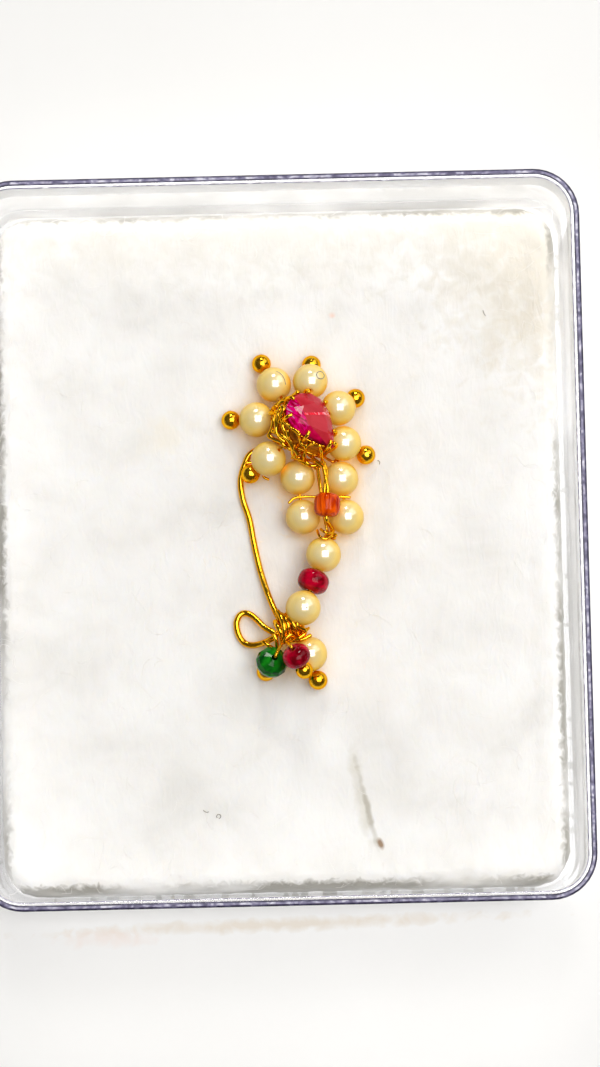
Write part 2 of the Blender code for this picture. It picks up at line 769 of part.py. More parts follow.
def hook_wire(home, pin, start, axis, pitch):
    """The thick wire from beside the setting down the left side, which ends in the coil."""
    rest = REST_GAP + THICK_WIRE / 2
    top = start.z + (COIL_DIAMETER - THICK_WIRE) / 2
    route = []
    for across, along, height in HOOK_ROUTE:
        route.append(Vector((across * PEARL_DIAMETER, along * start.y, rest + height * PEARL_DIAMETER)))
    reach = (COIL_DIAMETER - THICK_WIRE) / 2
    steps = 12
    coil = []
    for step in range(int(COIL_TURNS * steps) + 1):
        turn = 360.0 * step / steps
        coil.append(round_coil(start + axis * (pitch * turn / 360.0), axis, reach, 90.0 + turn))
    arrival = Vector((start.x - pitch * 0.25, start.y + reach * 1.25, top - reach * 0.12))
    route += [arrival, coil[0]]
    path = smooth_path(route, 3)
    wire(home, "hook_wire", path + coil[1:], THICK_WIRE, pin)


def loop_wire(home, pin, start, axis, pitch):
    """The teardrop loop: from inside the coil out to the left, round, and back over its own start."""
    rest = REST_GAP + THICK_WIRE / 2
    mouth = start - axis * (THICK_WIRE * 1.05)
    route = [start + axis * (pitch * (COIL_TURNS - 1.0)), start + axis * pitch]
    for out, side, height in LOOP_ROUTE:
        place = Vector((mouth.x - out * LOOP_LENGTH, mouth.y + side * LOOP_WIDTH, rest + height * (start.z - rest)))
        route.append(place)
    wire(home, "loop_wire", smooth_path(route, 2), THICK_WIRE, pin)


def stem(home, pin, ring_centre, orange, coil_middle):
    """The wire from the foot ring through the orange bead and the stem's beads to its tail over the coil."""
    first, red, last, way = stem_places()
    bead_way = direction(ORANGE_BEAD_BEARING)
    bead(home, "orange_bead", orange, bead_way, ORANGE_BEAD_DIAMETER, ORANGE_BEAD_LENGTH, "orange_glass", pin,
         squareness=3.2)
    pearl(home, "11", first, way, pin)
    bead(home, "red_bead_stem", red, way, STEM_RED_DIAMETER, STEM_RED_LENGTH, "red_glass", pin, squareness=2.6)
    pearl(home, "12", last, way, pin)
    eye = eye_path(ring_centre, STEM_EYE_BEARING, STEM_WIRE)
    half_bead = ORANGE_BEAD_LENGTH / 2 + HOLE_TO_BEND
    half_pearl = PEARL_DIAMETER / 2 + FINE_WIRE
    route = [
        eye[1],
        eye[0],
        Vector(STEM_TURN_PLACE) * PEARL_DIAMETER,
        orange - bead_way * half_bead,
        orange + bead_way * half_bead,
        first - way * (half_pearl + WRAP_DIAMETER * 0.6),
        last + way * half_pearl,
    ]
    for across, along, up in STEM_TAIL_ROUTE:
        place = coil_middle + Vector((across, along, 0)) * PEARL_DIAMETER
        place.z = up * PEARL_DIAMETER
        route.append(place)
    path = bent_path(route, STEM_BEND, 4)
    wire(home, "stem_wire", list(reversed(eye[2:])) + path, STEM_WIRE, pin)
    return first - way * (half_pearl + WRAP_DIAMETER * 0.37)


def back_wire(home, pin, ring_centre, wrap_centre, way):
    """The second wire behind the orange bead, which wraps the stem wire above pearl 11."""
    eye = eye_path(ring_centre, BACK_EYE_BEARING, FINE_WIRE)
    route = [eye[1], eye[0]] + [Vector(row) * PEARL_DIAMETER for row in BACK_WIRE_ROUTE]
    side = way.cross(Vector((0, 0, 1))).normalized()
    over = side.cross(way).normalized()
    reach = (WRAP_DIAMETER - FINE_WIRE) / 2
    wraps = []
    steps = 9
    for step in range(2 * steps + 1):
        turn = math.tau * step / steps
        along = way * ((FINE_WIRE + GAP) * step / steps)
        wraps.append(wrap_centre + along + (side * math.cos(turn) - over * math.sin(turn)) * reach)
    path = smooth_path(route + [wraps[0], wraps[1]], 3)
    wire(home, "back_wire", list(reversed(eye[2:])) + path + wraps[2:], FINE_WIRE, pin)


def drop_places(middle):
    """Bead and ball of each drop, laid on each other from the cotton up."""
    ways = {name: direction(math.radians(DROP_BEARINGS[name]), -math.radians(DROP_FALLS[name]))
            for name in DROP_BEARINGS}

    def beside_coil(place):
        return (middle.x + place[0] * PEARL_DIAMETER, middle.y + place[1] * PEARL_DIAMETER)

    pearl_place = Vector((*beside_coil(DROP_PEARL_PLACE), REST_GAP + PEARL_DIAMETER * (0.5 + DROP_PEARL_LIFT)))
    green_chain = (GREEN_BEAD_LENGTH + BALL_DIAMETER) / 2 + GAP
    green_height = REST_GAP + BALL_DIAMETER / 2 - ways["green"].z * green_chain
    green_place = Vector((*beside_coil(DROP_GREEN_PLACE), green_height))
    red_flat = beside_coil(DROP_RED_PLACE)
    red_chain = (DROP_RED_LENGTH + SMALL_BALL_DIAMETER) / 2 + GAP
    ball_flat = Vector((*red_flat, 0.0)) + ways["red"] * red_chain
    over_pearl = height_over(ball_flat, SMALL_BALL_DIAMETER / 2, [(pearl_place, PEARL_DIAMETER / 2)])
    over_both = height_over(red_flat, DROP_RED_DIAMETER / 2,
                            [(pearl_place, PEARL_DIAMETER / 2), (green_place, GREEN_BEAD_DIAMETER / 2)])
    red_place = Vector((*red_flat, max(over_both, over_pearl - ways["red"].z * red_chain)))
    return {
        "pearl": (pearl_place, ways["pearl"], (PEARL_DIAMETER + BALL_DIAMETER) / 2 + GAP),
        "red": (red_place, ways["red"], red_chain),
        "green": (green_place, ways["green"], green_chain),
    }


def drops(home, pin, places, start, axis, pitch):
    """Three short drops, each a wire from the coil through one bead to a gold ball."""
    pearl_place, pearl_way, pearl_chain = places["pearl"]
    pearl(home, "13", pearl_place, pearl_way, pin)
    gold_ball(home, "7", pearl_place + pearl_way * pearl_chain, pearl_way, BALL_DIAMETER, pin)
    red_place, red_way, red_chain = places["red"]
    bead(home, "red_bead_drop", red_place, red_way, DROP_RED_DIAMETER, DROP_RED_LENGTH, "red_glass", pin,
         squareness=2.3)
    gold_ball(home, "8", red_place + red_way * red_chain, red_way, SMALL_BALL_DIAMETER, pin)
    green_place, green_way, green_chain = places["green"]
    bead(home, "green_bead", green_place, green_way, GREEN_BEAD_DIAMETER, GREEN_BEAD_LENGTH, "green_glass", pin,
         squareness=2.2, sides=12, steps=4)
    gold_ball(home, "9", green_place + green_way * green_chain, green_way, BALL_DIAMETER, pin)

    far_end = start + axis * (pitch * COIL_TURNS)
    outside = far_end + axis * THICK_WIRE
    route = [
        pearl_place + pearl_way * (pearl_chain - GAP),
        pearl_place - pearl_way * (PEARL_DIAMETER / 2 + HOLE_TO_BEND),
        outside + Vector((0, 0, COIL_DIAMETER * 0.36)),
        outside,
        far_end - axis * (pitch * 0.35),
    ]
    wire(home, "drop_wire_pearl", bent_path(route, FINE_BEND, 3), FINE_WIRE, pin)
    reach = (COIL_DIAMETER + FINE_WIRE) / 2 + GAP
    for name, length, turns in (("red", DROP_RED_LENGTH, 0.38), ("green", GREEN_BEAD_LENGTH, -0.35)):
        place, way, chain = places[name]
        centre = start + axis * (pitch * turns)
        hole = place - way * (length / 2 + HOLE_TO_BEND)
        hook = [round_coil(centre, axis, reach, angle) for angle in range(180, 341, 20)]
        above = round_coil(centre, axis, reach, 180)
        above.z = centre.z + (hole.z - centre.z) * DROP_WIRE_LIFT
        path = bent_path([place + way * (chain - GAP), hole, above, hook[0]], FINE_BEND, 3)
        wire(home, f"drop_wire_{name}", path + hook[1:], FINE_WIRE, pin)


def binding_wire(home, pin, ball):
    """A fine wire twisted round the gold ball next to the hook wire."""
    route = []
    for bearing, reach in BINDING_ROUTE:
        place = ball + direction(math.radians(bearing)) * (reach * BALL_DIAMETER / 2)
        place.z = ball.z - BINDING_DROP * BALL_DIAMETER / 2
        route.append(place)
    wire(home, "binding_wire", smooth_path(route, 2), FINE_WIRE, pin)


def nose_pin(home, cutters):
    cotton_top = BOX_WALL + COTTON_CLEARANCE + COTTON_THICKNESS
    pin_place = (PIN_ACROSS * BOX_WIDTH, PIN_ALONG * BOX_LENGTH, cotton_top)
    pin = add_empty(home, "pin_frame", pin_place, (0, 0, PIN_TURN))
    flower = flower_places()
    stone_middle = seat_place(flower)
    seat = add_empty(home, "seat_frame", stone_middle, (-SETTING_TILT, 0, SETTING_BEARING), pin)
    normal = seat_axes()[2]
    ring_centre = stone_middle - normal * (SETTING_HEIGHT + RING_DROP)
    stone_piece(home, seat)
    claw_setting(home, cutters, seat)
    petals(home, pin, flower, ring_centre)
    pair_places = pairs_places()
    pairs(home, pin, pair_places, ring_centre)
    orange = orange_bead_place(pair_places)
    last_pearl, way = stem_places()[2:]
    start, axis, pitch, middle = coil_frame(last_pearl)
    wrap_centre = stem(home, pin, ring_centre, orange, middle)
    back_wire(home, pin, ring_centre, wrap_centre, way)
    hook_wire(home, pin, start, axis, pitch)
    loop_wire(home, pin, start, axis, pitch)
    drops(home, pin, drop_places(middle), start, axis, pitch)
    binding_wire(home, pin, flower[HOOKED_PETAL][1])


def main():
    clear_scene()
    home = make_collection(OBJECT_NAME)
    cutters = make_collection("cutters")
    tray_box(home, cutters)
    cotton_pad(home)
    nose_pin(home, cutters)


main()
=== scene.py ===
"""Looks, camera and light for the pearl nose pin that lies on cotton in an open clear plastic box.

Metres, in the row's frame. The nose pin is laid out in its own frame, on the cotton at the middle of its
flower, with the same sizes, places and routes as the solids, so each fine piece lies where its solid does.
"""

import math
import random

import bmesh
import bpy
from mathutils import Matrix, Vector, noise


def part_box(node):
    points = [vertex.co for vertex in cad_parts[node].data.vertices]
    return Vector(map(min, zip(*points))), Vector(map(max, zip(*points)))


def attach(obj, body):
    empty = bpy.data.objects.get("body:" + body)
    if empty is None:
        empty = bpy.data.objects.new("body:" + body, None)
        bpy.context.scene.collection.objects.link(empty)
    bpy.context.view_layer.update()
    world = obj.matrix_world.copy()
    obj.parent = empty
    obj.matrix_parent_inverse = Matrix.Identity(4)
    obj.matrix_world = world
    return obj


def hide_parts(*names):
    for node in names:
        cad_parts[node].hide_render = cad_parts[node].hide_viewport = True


MM = 0.001

# Box and cotton
BOX_WIDTH = 67.0 * MM
BOX_LENGTH = 80.0 * MM
BOX_HEIGHT = 18.0 * MM
BOX_WALL = 1.0 * MM
BOX_CORNER = 5.0 * MM
BOX_TAPER = 1.0 * MM
BOX_FOOT_ROUND = 0.8 * MM
RIM_ROUND = 0.22 * MM
# The rim's dark and pale looks are painted shade and painted light on the clear plastic.
# Looks of the wall, and the bands of the rim's top from its outer edge inwards: share of the wall, look
CLEAR, DARK, PALE = 0, 1, 2
RIM_BANDS = ((0.46, DARK), (0.64, CLEAR))
COTTON_THICKNESS = 7.7 * MM
COTTON_CLEARANCE = 0.3 * MM
COTTON_TOP = BOX_WALL + COTTON_CLEARANCE + COTTON_THICKNESS

# Wadding: size of its faces, depth of its soft top, widths of its uneven and frayed edge, and their limits
PAD_FACE = 0.52 * MM
PAD_TOP_BAND = 1.6 * MM
PAD_EDGE_BAND = 4.0 * MM
FRAYED_BAND = 2.5 * MM
MOST_FRAY = 0.2 * MM
MOST_RISE = 0.3 * MM

# Clearances of the nose pin
REST_GAP = 0.1 * MM
GAP = 0.06 * MM

# Wires
FINE_WIRE = 0.3 * MM
RING_WIRE = 0.4 * MM
STEM_WIRE = 0.45 * MM
THICK_WIRE = 0.68 * MM
RING_DIAMETER = 4.2 * MM
COIL_DIAMETER = 2.52 * MM
WRAP_DIAMETER = 1.4 * MM
FINE_BEND = 0.26 * MM
STEM_BEND = 0.42 * MM
HOLE_TO_BEND = 0.36 * MM
NO_BEND = math.radians(3)
# Rings of a wire's rounded end, as shares of its radius, and the depth of the end in the same shares
END_RINGS = (0.95, 0.75, 0.4)
END_DEPTH = 0.7

# How finely round things are divided
WIRE_SIDES = 12
THICK_SIDES = 16
THIN_SIDES = 10
BEAD_SIDES = 48
CUT_BEAD_SIDES = 108
FACET_SIDES = 12
FACET_ROWS = 6
BALL_SIDES = 32
GALLERY_SIDES = 64
RING_SIDES = 56
PROFILE_STEPS = 24
PEARL_STEPS = 30
EYE_STEPS = 18

# Pearls, balls and beads
PEARL_DIAMETER = 3.85 * MM
PEARL_BORE = 0.8 * MM
PEARL_LIP = 0.12 * MM
BALL_DIAMETER = 2.1 * MM
SMALL_BALL_DIAMETER = 1.9 * MM
BEAD_BORE = 0.7 * MM
ORANGE_BEAD_DIAMETER = 2.9 * MM
ORANGE_BEAD_LENGTH = 2.65 * MM
STEM_RED_DIAMETER = 3.45 * MM
STEM_RED_LENGTH = 2.5 * MM
DROP_RED_DIAMETER = 3.1 * MM
DROP_RED_LENGTH = 2.3 * MM
GREEN_BEAD_DIAMETER = 3.55 * MM
GREEN_BEAD_LENGTH = 2.6 * MM

UP = Vector((0, 0, 1))
PEARL_REST = REST_GAP + PEARL_DIAMETER / 2
PEARL_TO_BALL = (PEARL_DIAMETER + BALL_DIAMETER) / 2 + GAP

# Stone and its claw setting
STONE_LENGTH = 7.1 * MM
STONE_WIDTH = 5.0 * MM
STONE_CROWN = 0.8 * MM
STONE_GIRDLE = 0.3 * MM
STONE_PAVILION = 1.3 * MM
SETTING_HEIGHT = 3.0 * MM
SETTING_WALL = 0.35 * MM
SETTING_INSET = 0.12 * MM
FOOT_RAIL = 0.36 * MM
TOP_RAIL = 0.3 * MM
PRONG_WIDTH = 0.4 * MM
RING_DROP = 0.75 * MM
SETTING_TILT = math.radians(27)
SETTING_BEARING = -52.0

# Where the nose pin lies, as shares of the box's width and length, and its turn from the box's axes
PIN_ACROSS = 0.035
PIN_ALONG = 0.1611
PIN_TURN = math.radians(-1.3)

# Bearings in degrees of the stem wire's and second wire's eyes on the foot ring, and the turn of each eye
STEM_EYE_BEARING = -70.0
BACK_EYE_BEARING = -92.0
EYE_TURN = 290.0

# Middle of the stone above the flower and the room over the pearls under it, as shares of their diameter
SEAT_ACROSS = 0.412
SEAT_ALONG = 0.01
SEAT_CLEAR = 0.51
PEARLS_UNDER_STONE = ("2", "3", "4")
HOOKED_BALL_LIFT = 0.6 * THICK_WIRE

# Petals round the flower: place of the pearl, way from it to its gold ball, how steeply that falls,
# and the bearing of the pin's eye on the ring. Reach is a share of the pearls' diameter.
PETALS = (
    # number, bearing, reach, ball_bearing, ball_fall, eye_bearing
    ("1", 120.0, 1.44, 119.0, 21.0, 122.0),
    ("2", 76.0, 1.34, 87.0, 45.0, 78.0),
    ("3", 25.6, 1.25, 36.0, 40.0, 27.0),
    ("4", -19.7, 1.363, -24.0, 29.0, -22.0),
    ("5", 169.0, 1.24, 178.0, 22.0, 163.0),
    ("6", -133.0, 1.272, -144.0, 36.0, -146.0),
)
HOOKED_PETAL = "6"

# Pearl pairs below the flower, as shares of the pearls' diameter
PAIR_PEARLS = (
    # number, across, along
    ("7", -0.043, -1.421),
    ("8", 1.198, -1.465),
    ("9", 0.114, -2.556),
    ("10", 1.356, -2.558),
)
SIDE_WIRES = (
    # name, upper pearl, lower pearl, eye bearing, bends below the ring (across, along, up)
    ("side_wire_left", "7", "9", -112.0, ((-0.2, -0.955, 1.15), (-0.15, -0.865, 0.79))),
    ("side_wire_right", "8", "10", -44.0, ((0.76, -0.86, 0.57), (0.97, -0.97, 0.46))),
)

# Orange bead and the stem below it, as shares of the pearls' diameter
ORANGE_BEAD_PLACE = (0.801, -2.297)
ORANGE_BEAD_BEARING = -93.0
STEM_PEARL_PLACE = (0.7, -3.667)
STEM_PEARL_LIFT = 0.25
STEM_BEARING = -110.3
STEM_RISE = 10.8
STEM_GAP = 0.08 * MM

# Coil of the hook wire, measured from pearl 12
COIL_START_ACROSS = -0.6
COIL_BEARING = 8.0
COIL_TURNS = 3.05
COIL_STEPS = 28

# Drops below the coil: place of each bead from the coil's middle as a share of the pearls' diameter, and the
# bearing and fall of its wire
DROPS = (
    # name, across, along, bearing, fall
    ("pearl", 0.5, -0.68, -72.0, 15.0),
    ("red", 0.123, -0.826, -59.0, 40.0),
    ("green", -0.578, -0.938, -128.0, 65.0),
)
DROP_PEARL_LIFT = 0.12
DROP_WIRE_LIFT = 0.7

# Routes of the bent wires. Across and height are shares of the pearls' diameter. Along is a share of the way
# down from the flower's middle to the coil's start.
HOOK_ROUTE = (
    # across, along, height
    (-0.42, 0.062, 0.5),
    (-0.66, 0.072, 0.3),
    (-0.95, 0.085, 0.08),
    (-1.22, 0.099, 0.01),
    (-1.42, 0.123, 0.0),
    (-1.55, 0.17, 0.0),
    (-1.64, 0.218, 0.0),
    (-1.67, 0.262, 0.0),
    (-1.6, 0.342, 0.0),
    (-1.414, 0.44, 0.0),
    (-1.286, 0.554, 0.0),
    (-1.114, 0.683, 0.02),
    (-0.9, 0.8, 0.13),
    (-0.68, 0.895, 0.37),
)
# The loop's places are shares of its length and width, left of the coil's mouth, and of the coil's height
LOOP_LENGTH = 4.3 * MM
LOOP_WIDTH = 3.6 * MM
LOOP_ROUTE = (
    # out, side, height
    (0.0, 0.0, 1.0),
    (0.12, 0.07, 0.9),
    (0.28, 0.19, 0.68),
    (0.46, 0.41, 0.38),
    (0.64, 0.6, 0.12),
    (0.8, 0.655, 0.0),
    (0.92, 0.585, 0.0),
    (1.0, 0.37, 0.0),
    (0.98, 0.125, 0.0),
    (0.895, -0.125, 0.0),
    (0.77, -0.28, 0.05),
    (0.605, -0.335, 0.2),
    (0.45, -0.32, 0.45),
    (0.28, -0.27, 0.85),
    (0.13, -0.2, 1.3),
    (0.0, -0.13, 1.58),
)
# Fine wires, as shares of the pearls' diameter from the flower's middle, heights above the cotton
BACK_WIRE_ROUTE = (
    # across, along, up
    (0.485, -1.064, 0.78),
    (0.542, -1.396, 0.675),
    (0.62, -1.88, 0.6),
    (0.7, -2.25, 0.59),
    (0.74, -2.69, 0.64),
)
CROSS_WIRE_ROUTE = (
    (-0.285, -2.18, 0.76),
    (-0.142, -2.05, 0.76),
    (0.1, -2.008, 0.76),
    (0.6, -2.008, 0.745),
    (1.19, -2.012, 0.76),
    (1.456, -2.02, 0.76),
)
STEM_TURN_PLACE = (0.7, -1.19, 1.16)
STEM_TAIL_ROUTE = (
    # from the coil's middle
    (0.45, -0.06, 0.96),
    (0.21, -0.25, 0.975),
    (-0.04, -0.36, 0.935),
)
BINDING_ROUTE = (
    # bearing from the ball next to the hook wire, reach from its middle in ball radii
    (112.0, 1.27),
    (86.0, 1.25),
    (60.0, 1.25),
    (34.0, 1.25),
    (8.0, 1.26),
    (-12.0, 1.45),
    (-16.0, 1.95),
)
BINDING_DROP = 0.25

# Bare strands twisted round the outside of the setting: angles round the stone from its tip, and depths and
# bow as shares of the setting's height
STRANDS = (
    # from angle, from depth, to angle, to depth, bow
    (200.0, 1.05, 165.0, 0.05, 0.35),
    (199.0, 0.65, 188.0, 0.02, 0.05),
    (196.0, 0.95, 240.0, 1.2, -0.45),
    (208.0, 0.25, 244.0, 0.78, -0.1),
    (234.0, 0.32, 213.0, 0.0, -0.08),
    (233.0, 0.2, 270.0, 0.55, 0.05),
    (242.0, 1.15, 288.0, 1.05, -0.2),
    (238.0, 0.95, 284.0, 0.98, -0.42),
    (237.0, 0.12, 270.0, -0.04, 0.02),
    (272.0, -0.04, 301.0, 0.06, 0.34),
    (292.0, 0.3, 304.0, 1.12, 0.0),
    (312.0, 0.02, 342.0, 0.86, 0.02),
    (286.0, 1.12, 354.0, 0.94, 0.16),
    (294.0, 1.04, 334.0, 1.26, 0.02),
    (255.0, 0.22, 290.0, 0.92, 0.06),
    (214.0, 0.4, 206.0, 1.0, 0.0),
    (222.0, 0.42, 262.0, 0.8, 0.1),
)
STRAND_WIRE = 0.42 * MM
STRAND_OUT = 0.2 * MM
STRAND_SPREAD = 0.58 * MM

# Bare ends of wire of three thicknesses, lapped over the coil and beside the stem, as shares of the pearls'
# diameter (across, along, up)
LAP_WIRE = 0.6 * MM
COIL_LAPS = (
    ((-0.35, -5.37, 0.68), (-0.21, -5.45, 0.96), (-0.04, -5.62, 1.04), (0.08, -5.84, 1.01),
     (0.12, -6.05, 0.83)),
    ((-0.41, -5.45, 0.83), (-0.24, -5.57, 1.04), (-0.1, -5.76, 1.06), (-0.02, -6.0, 0.88)),
    ((-0.5, -5.39, 0.86), (-0.37, -5.55, 1.01), (-0.29, -5.76, 1.04), (-0.32, -6.0, 0.88)),
    ((-0.61, -5.3, 0.83), (-0.49, -5.52, 0.99), (-0.41, -5.82, 1.04), (-0.44, -6.09, 0.88)),
    ((-0.67, -5.58, 0.73), (-0.62, -5.71, 0.91), (-0.52, -5.89, 0.96), (-0.47, -6.1, 0.81)),
)
TAIL_WIRE = 0.44 * MM
WIRE_TAILS = (
    ((-0.27, -6.18, 0.99), (-0.04, -6.15, 1.04), (0.13, -6.11, 1.06), (0.33, -6.0, 1.04)),
    ((-1.01, -6.15, 0.68), (-0.84, -6.28, 0.75), (-0.64, -6.41, 0.75), (-0.52, -6.48, 0.62)),
    ((-0.44, -6.21, 0.94), (-0.35, -6.07, 0.99), (-0.24, -5.98, 0.99), (-0.15, -6.02, 0.94)),
    ((-0.71, -5.98, 0.94), (-0.64, -6.12, 0.91), (-0.62, -6.3, 0.78)),
    ((0.72, -1.08, 1.09), (0.79, -1.34, 1.12), (0.75, -1.64, 1.19), (0.72, -1.96, 1.15)),
)
LOOSE_ENDS = (
    ((0.63, -1.07, 1.01), (0.57, -1.3, 1.04), (0.6, -1.6, 1.09), (0.63, -1.92, 1.12)),
    ((0.52, -2.99, 0.94), (0.59, -3.18, 1.12), (0.76, -3.26, 1.14), (0.93, -3.13, 1.06), (0.92, -2.96, 0.94)),
    ((0.62, -2.97, 1.04), (0.75, -3.08, 1.19), (0.9, -3.09, 1.09), (0.99, -3.0, 0.94)),
)

# Marks on three of the pearls, as shares of the pearl's radius from its middle (across, along)
PEARL_MARKS = (
    # pearl, line, closed
    ("1", ((0.17, 0.66), (0.42, 0.5), (0.6, 0.22), (0.68, -0.08)), False),
    ("2", ((0.8, 0.25), (0.73, 0.41), (0.58, 0.48), (0.43, 0.41), (0.36, 0.25), (0.43, 0.09), (0.58, 0.03),
           (0.73, 0.09)), True),
    ("12", ((0.17, -0.08), (0.2, -0.1), (0.23, -0.09)), False),
)
MARK_WIDTH = 0.1 * MM

# Stains, and creases drawn only as painted shade, as shares of the box's width and length from its middle, and
# sizes in the same shares
COTTON_PATCHES = (
    # across, along, half length, half width, turn in degrees, tint, strength
    (0.122, -0.345, 0.095, 0.012, -80.0, (0.68, 0.65, 0.57), 0.6),
    (0.134, -0.365, 0.085, 0.005, -77.0, (0.46, 0.43, 0.36), 0.7),
    (0.153, -0.412, 0.012, 0.0045, -70.0, (0.3, 0.18, 0.09), 0.9),
    (0.094, 0.32, 0.007, 0.005, 10.0, (0.9, 0.62, 0.5), 0.6),
    (0.43, 0.4, 0.32, 0.18, -60.0, (0.75, 0.7, 0.6), 0.8),
    (0.0, 0.44, 0.65, 0.1, 0.0, (0.78, 0.76, 0.71), 0.7),
    (-0.19, 0.16, 0.06, 0.035, 20.0, (0.9, 0.84, 0.72), 0.45),
    (-0.44, 0.44, 0.2, 0.03, 0.0, (0.74, 0.73, 0.68), 0.5),
    (0.33, -0.47, 0.22, 0.016, 2.0, (0.72, 0.7, 0.64), 0.5),
)
PATCH_FRAY = 0.8
# Oval round the nose pin where its gold casts painted warm light, in the first five of these columns
PIN_BED = (0.045, 0.04, 0.5015, 0.3015, 80.0)
# Painted shadow that the near wall casts on the floor, warmed where light comes through it, in the same
# columns
FLOOR_PATCHES = (
    (-0.02, -0.512, 0.43, 0.011, 1.0, (0.74, 0.66, 0.55), 0.7),
    (-0.3, -0.525, 0.09, 0.016, 0.0, (0.86, 0.74, 0.68), 0.5),
)
# Stray dark hairs on the cotton, in the same shares
STRAY_HAIRS = (
    # across, along, length, bearing, curl in degrees
    (0.343, 0.323, 0.01, -80.0, 30.0),
    (0.166, 0.112, 0.008, 60.0, 120.0),
    (-0.11, -0.372, 0.018, 20.0, 300.0),
    (-0.135, -0.36, 0.01, -60.0, 90.0),
)

# Claws round the stone and posts of the foot ring, as angles of the pear outline from its tip
CLAW_ANGLES = (14.0, 50.0, 106.0, 150.0, 192.0, 236.0, 284.0, 330.0)
POST_ANGLES = (70.0, 100.0, 258.0, 280.0)
# Cut of the stone: its table and its keel as shares of its outline
TABLE_SHARE = 0.56
KEEL_SHARE = 0.2
# Lines across the stone where its reflections change, from and to (along, across) shares of its half size
STONE_CUTS = (
    ((-0.45, -0.52), (0.05, 0.7)),
    ((-0.36, -0.52), (0.12, 0.66)),
    ((-0.95, -0.02), (0.0, -0.5)),
    ((0.0, -0.5), (1.0, -0.15)),
)
# Share of its half length beyond which the tip's facets are painted dark, as shade
STONE_TIP = 0.86
# Greatest half width of the plain pear curve, which the outline is scaled by
PEAR_WIDEST = 0.77

# Glass, stone and plastic
BEAD_IOR = 1.36
STONE_IOR = 1.45
PLASTIC_IOR = 1.49
WHITE = (1.0, 1.0, 1.0)

# Camera: the photo's frame, scale at the nose pin, distance, and tilt and roll from straight above
FRAME_WIDTH = 600.0
FRAME_SCALE = 9.1 / MM
CAMERA_DISTANCE = 650.0 * MM
CAMERA_TILT = math.radians(7.0)
CAMERA_ROLL = math.radians(1.3)
AIM = (2.2 * MM, 1.35 * MM, 10.0 * MM)
SENSOR = 36.0

# Light: strength of the room's own, and the lamps, aimed at the nose pin
ROOM_LIGHT = 0.2
LAMPS = (
    # name, bearing, height angle, distance, size, power, colour
    ("overhead", 0.0, 77.5, 0.9, 0.7, 6.6, (1.0, 0.985, 0.96)),
    ("far_lamp", 90.0, 33.0, 0.8, 0.16, 1.5, (1.0, 0.97, 0.92)),
    ("window", 38.0, 36.0, 0.85, 0.6, 1.6, (0.97, 0.98, 1.0)),
)

FIBRE_COUNT = 420
HAIR_WIDTH = 0.07 * MM
SEED = 7


def direction(bearing, rise=0.0):
    """Unit vector from a bearing in the cotton's plane and a rise above it, both in degrees."""
    turn = math.radians(bearing)
    lift = math.radians(rise)
    return Vector((math.cos(lift) * math.cos(turn), math.cos(lift) * math.sin(turn), math.sin(lift)))


def shares(steps):
    """Even steps from 0 to 1, with both ends."""
    return [step / steps for step in range(steps + 1)]


def turns(count):
    """Even angles all the way round."""
    return [math.tau * step / count for step in range(count)]


def in_pearls(rows):
    """Places that are given as shares of the pearls' diameter."""
    return [Vector(row) * PEARL_DIAMETER for row in rows]


def height_over(place, reach, supports):
    """Height at which a round piece of this reach clears each support, given as centre and radius."""
    height = REST_GAP + reach
    for centre, radius in supports:
        apart = math.hypot(place[0] - centre[0], place[1] - centre[1])
        clear = reach + radius + GAP
        if apart < clear:
            height = max(height, centre[2] + math.sqrt(clear ** 2 - apart ** 2))
    return height


def smooth_path(points, steps=8):
    """Centripetal Catmull-Rom curve through the points, with the same number of steps in each span."""
    ends = [2 * points[0] - points[1], *points, 2 * points[-1] - points[-2]]
    path = []
    for before, start, stop, after in zip(ends, ends[1:], ends[2:], ends[3:]):
        spans = ((before, start), (start, stop), (stop, after))
        first, middle, last = (math.sqrt((b - a).length) for a, b in spans)
        leave = (start - before) / first - (stop - before) / (first + middle) + (stop - start) / middle
        arrive = (stop - start) / middle - (after - start) / (middle + last) + (after - stop) / last
        for t in shares(steps)[:-1]:
            path.append(
                start * (2 * t ** 3 - 3 * t ** 2 + 1)
                + leave * middle * (t ** 3 - 2 * t ** 2 + t)
                + stop * (3 * t ** 2 - 2 * t ** 3)
                + arrive * middle * (t ** 3 - t ** 2)
            )
    return path + [points[-1]]


def bent_path(points, radius=FINE_BEND, steps=8):
    """Straight stretches of wire between the points, with a round bend of this radius at each corner."""
    path = [points[0]]
    for before, corner, after in zip(points, points[1:], points[2:]):
        back = (before - corner).normalized()
        ahead = (after - corner).normalized()
        turn = math.pi - back.angle(ahead)
        if turn < NO_BEND:
            path.append(corner)
            continue
        spare = 0.48 * min((before - corner).length, (after - corner).length)
        fits = min(radius, spare / math.tan(turn / 2))
        centre = corner + (back + ahead).normalized() * (fits / math.cos(turn / 2))
        start = corner + back * (fits * math.tan(turn / 2)) - centre
        for share in shares(steps):
            path.append(centre + start * math.cos(turn * share) - back * (fits * math.sin(turn * share)))
    return path + [points[-1]]


# Building of pieces

def new_object(name, data):
    made = bpy.data.objects.new(name, data)
    bpy.context.scene.collection.objects.link(made)
    return made


def as_object(name, model, look_names, smooth=True):
    mesh = bpy.data.meshes.new(name)
    bmesh.ops.recalc_face_normals(model, faces=model.faces)
    model.to_mesh(mesh)
    model.free()
    for face in mesh.polygons:
        face.use_smooth = smooth
    for look in look_names:
        mesh.materials.append(looks[look])
    return new_object(name, mesh)


def settle(piece, node=None, place=Matrix()):
    """Put a finished piece in place on the frame, in the stead of its solid if it has one."""
    piece.matrix_world = place
    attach(piece, "root")
    if node:
        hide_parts(node)


def add_ring(model, points):
    return [model.verts.new(point) for point in points]


def bridge(model, low, high, look=0):
    """Faces between two rings of points, of which one may be a single point."""
    count = max(len(low), len(high))
    for i in range(count):
        j = i + 1
        corners = (low[i % len(low)], low[j % len(low)], high[j % len(high)], high[i % len(high)])
        model.faces.new(tuple(dict.fromkeys(corners))).material_index = look


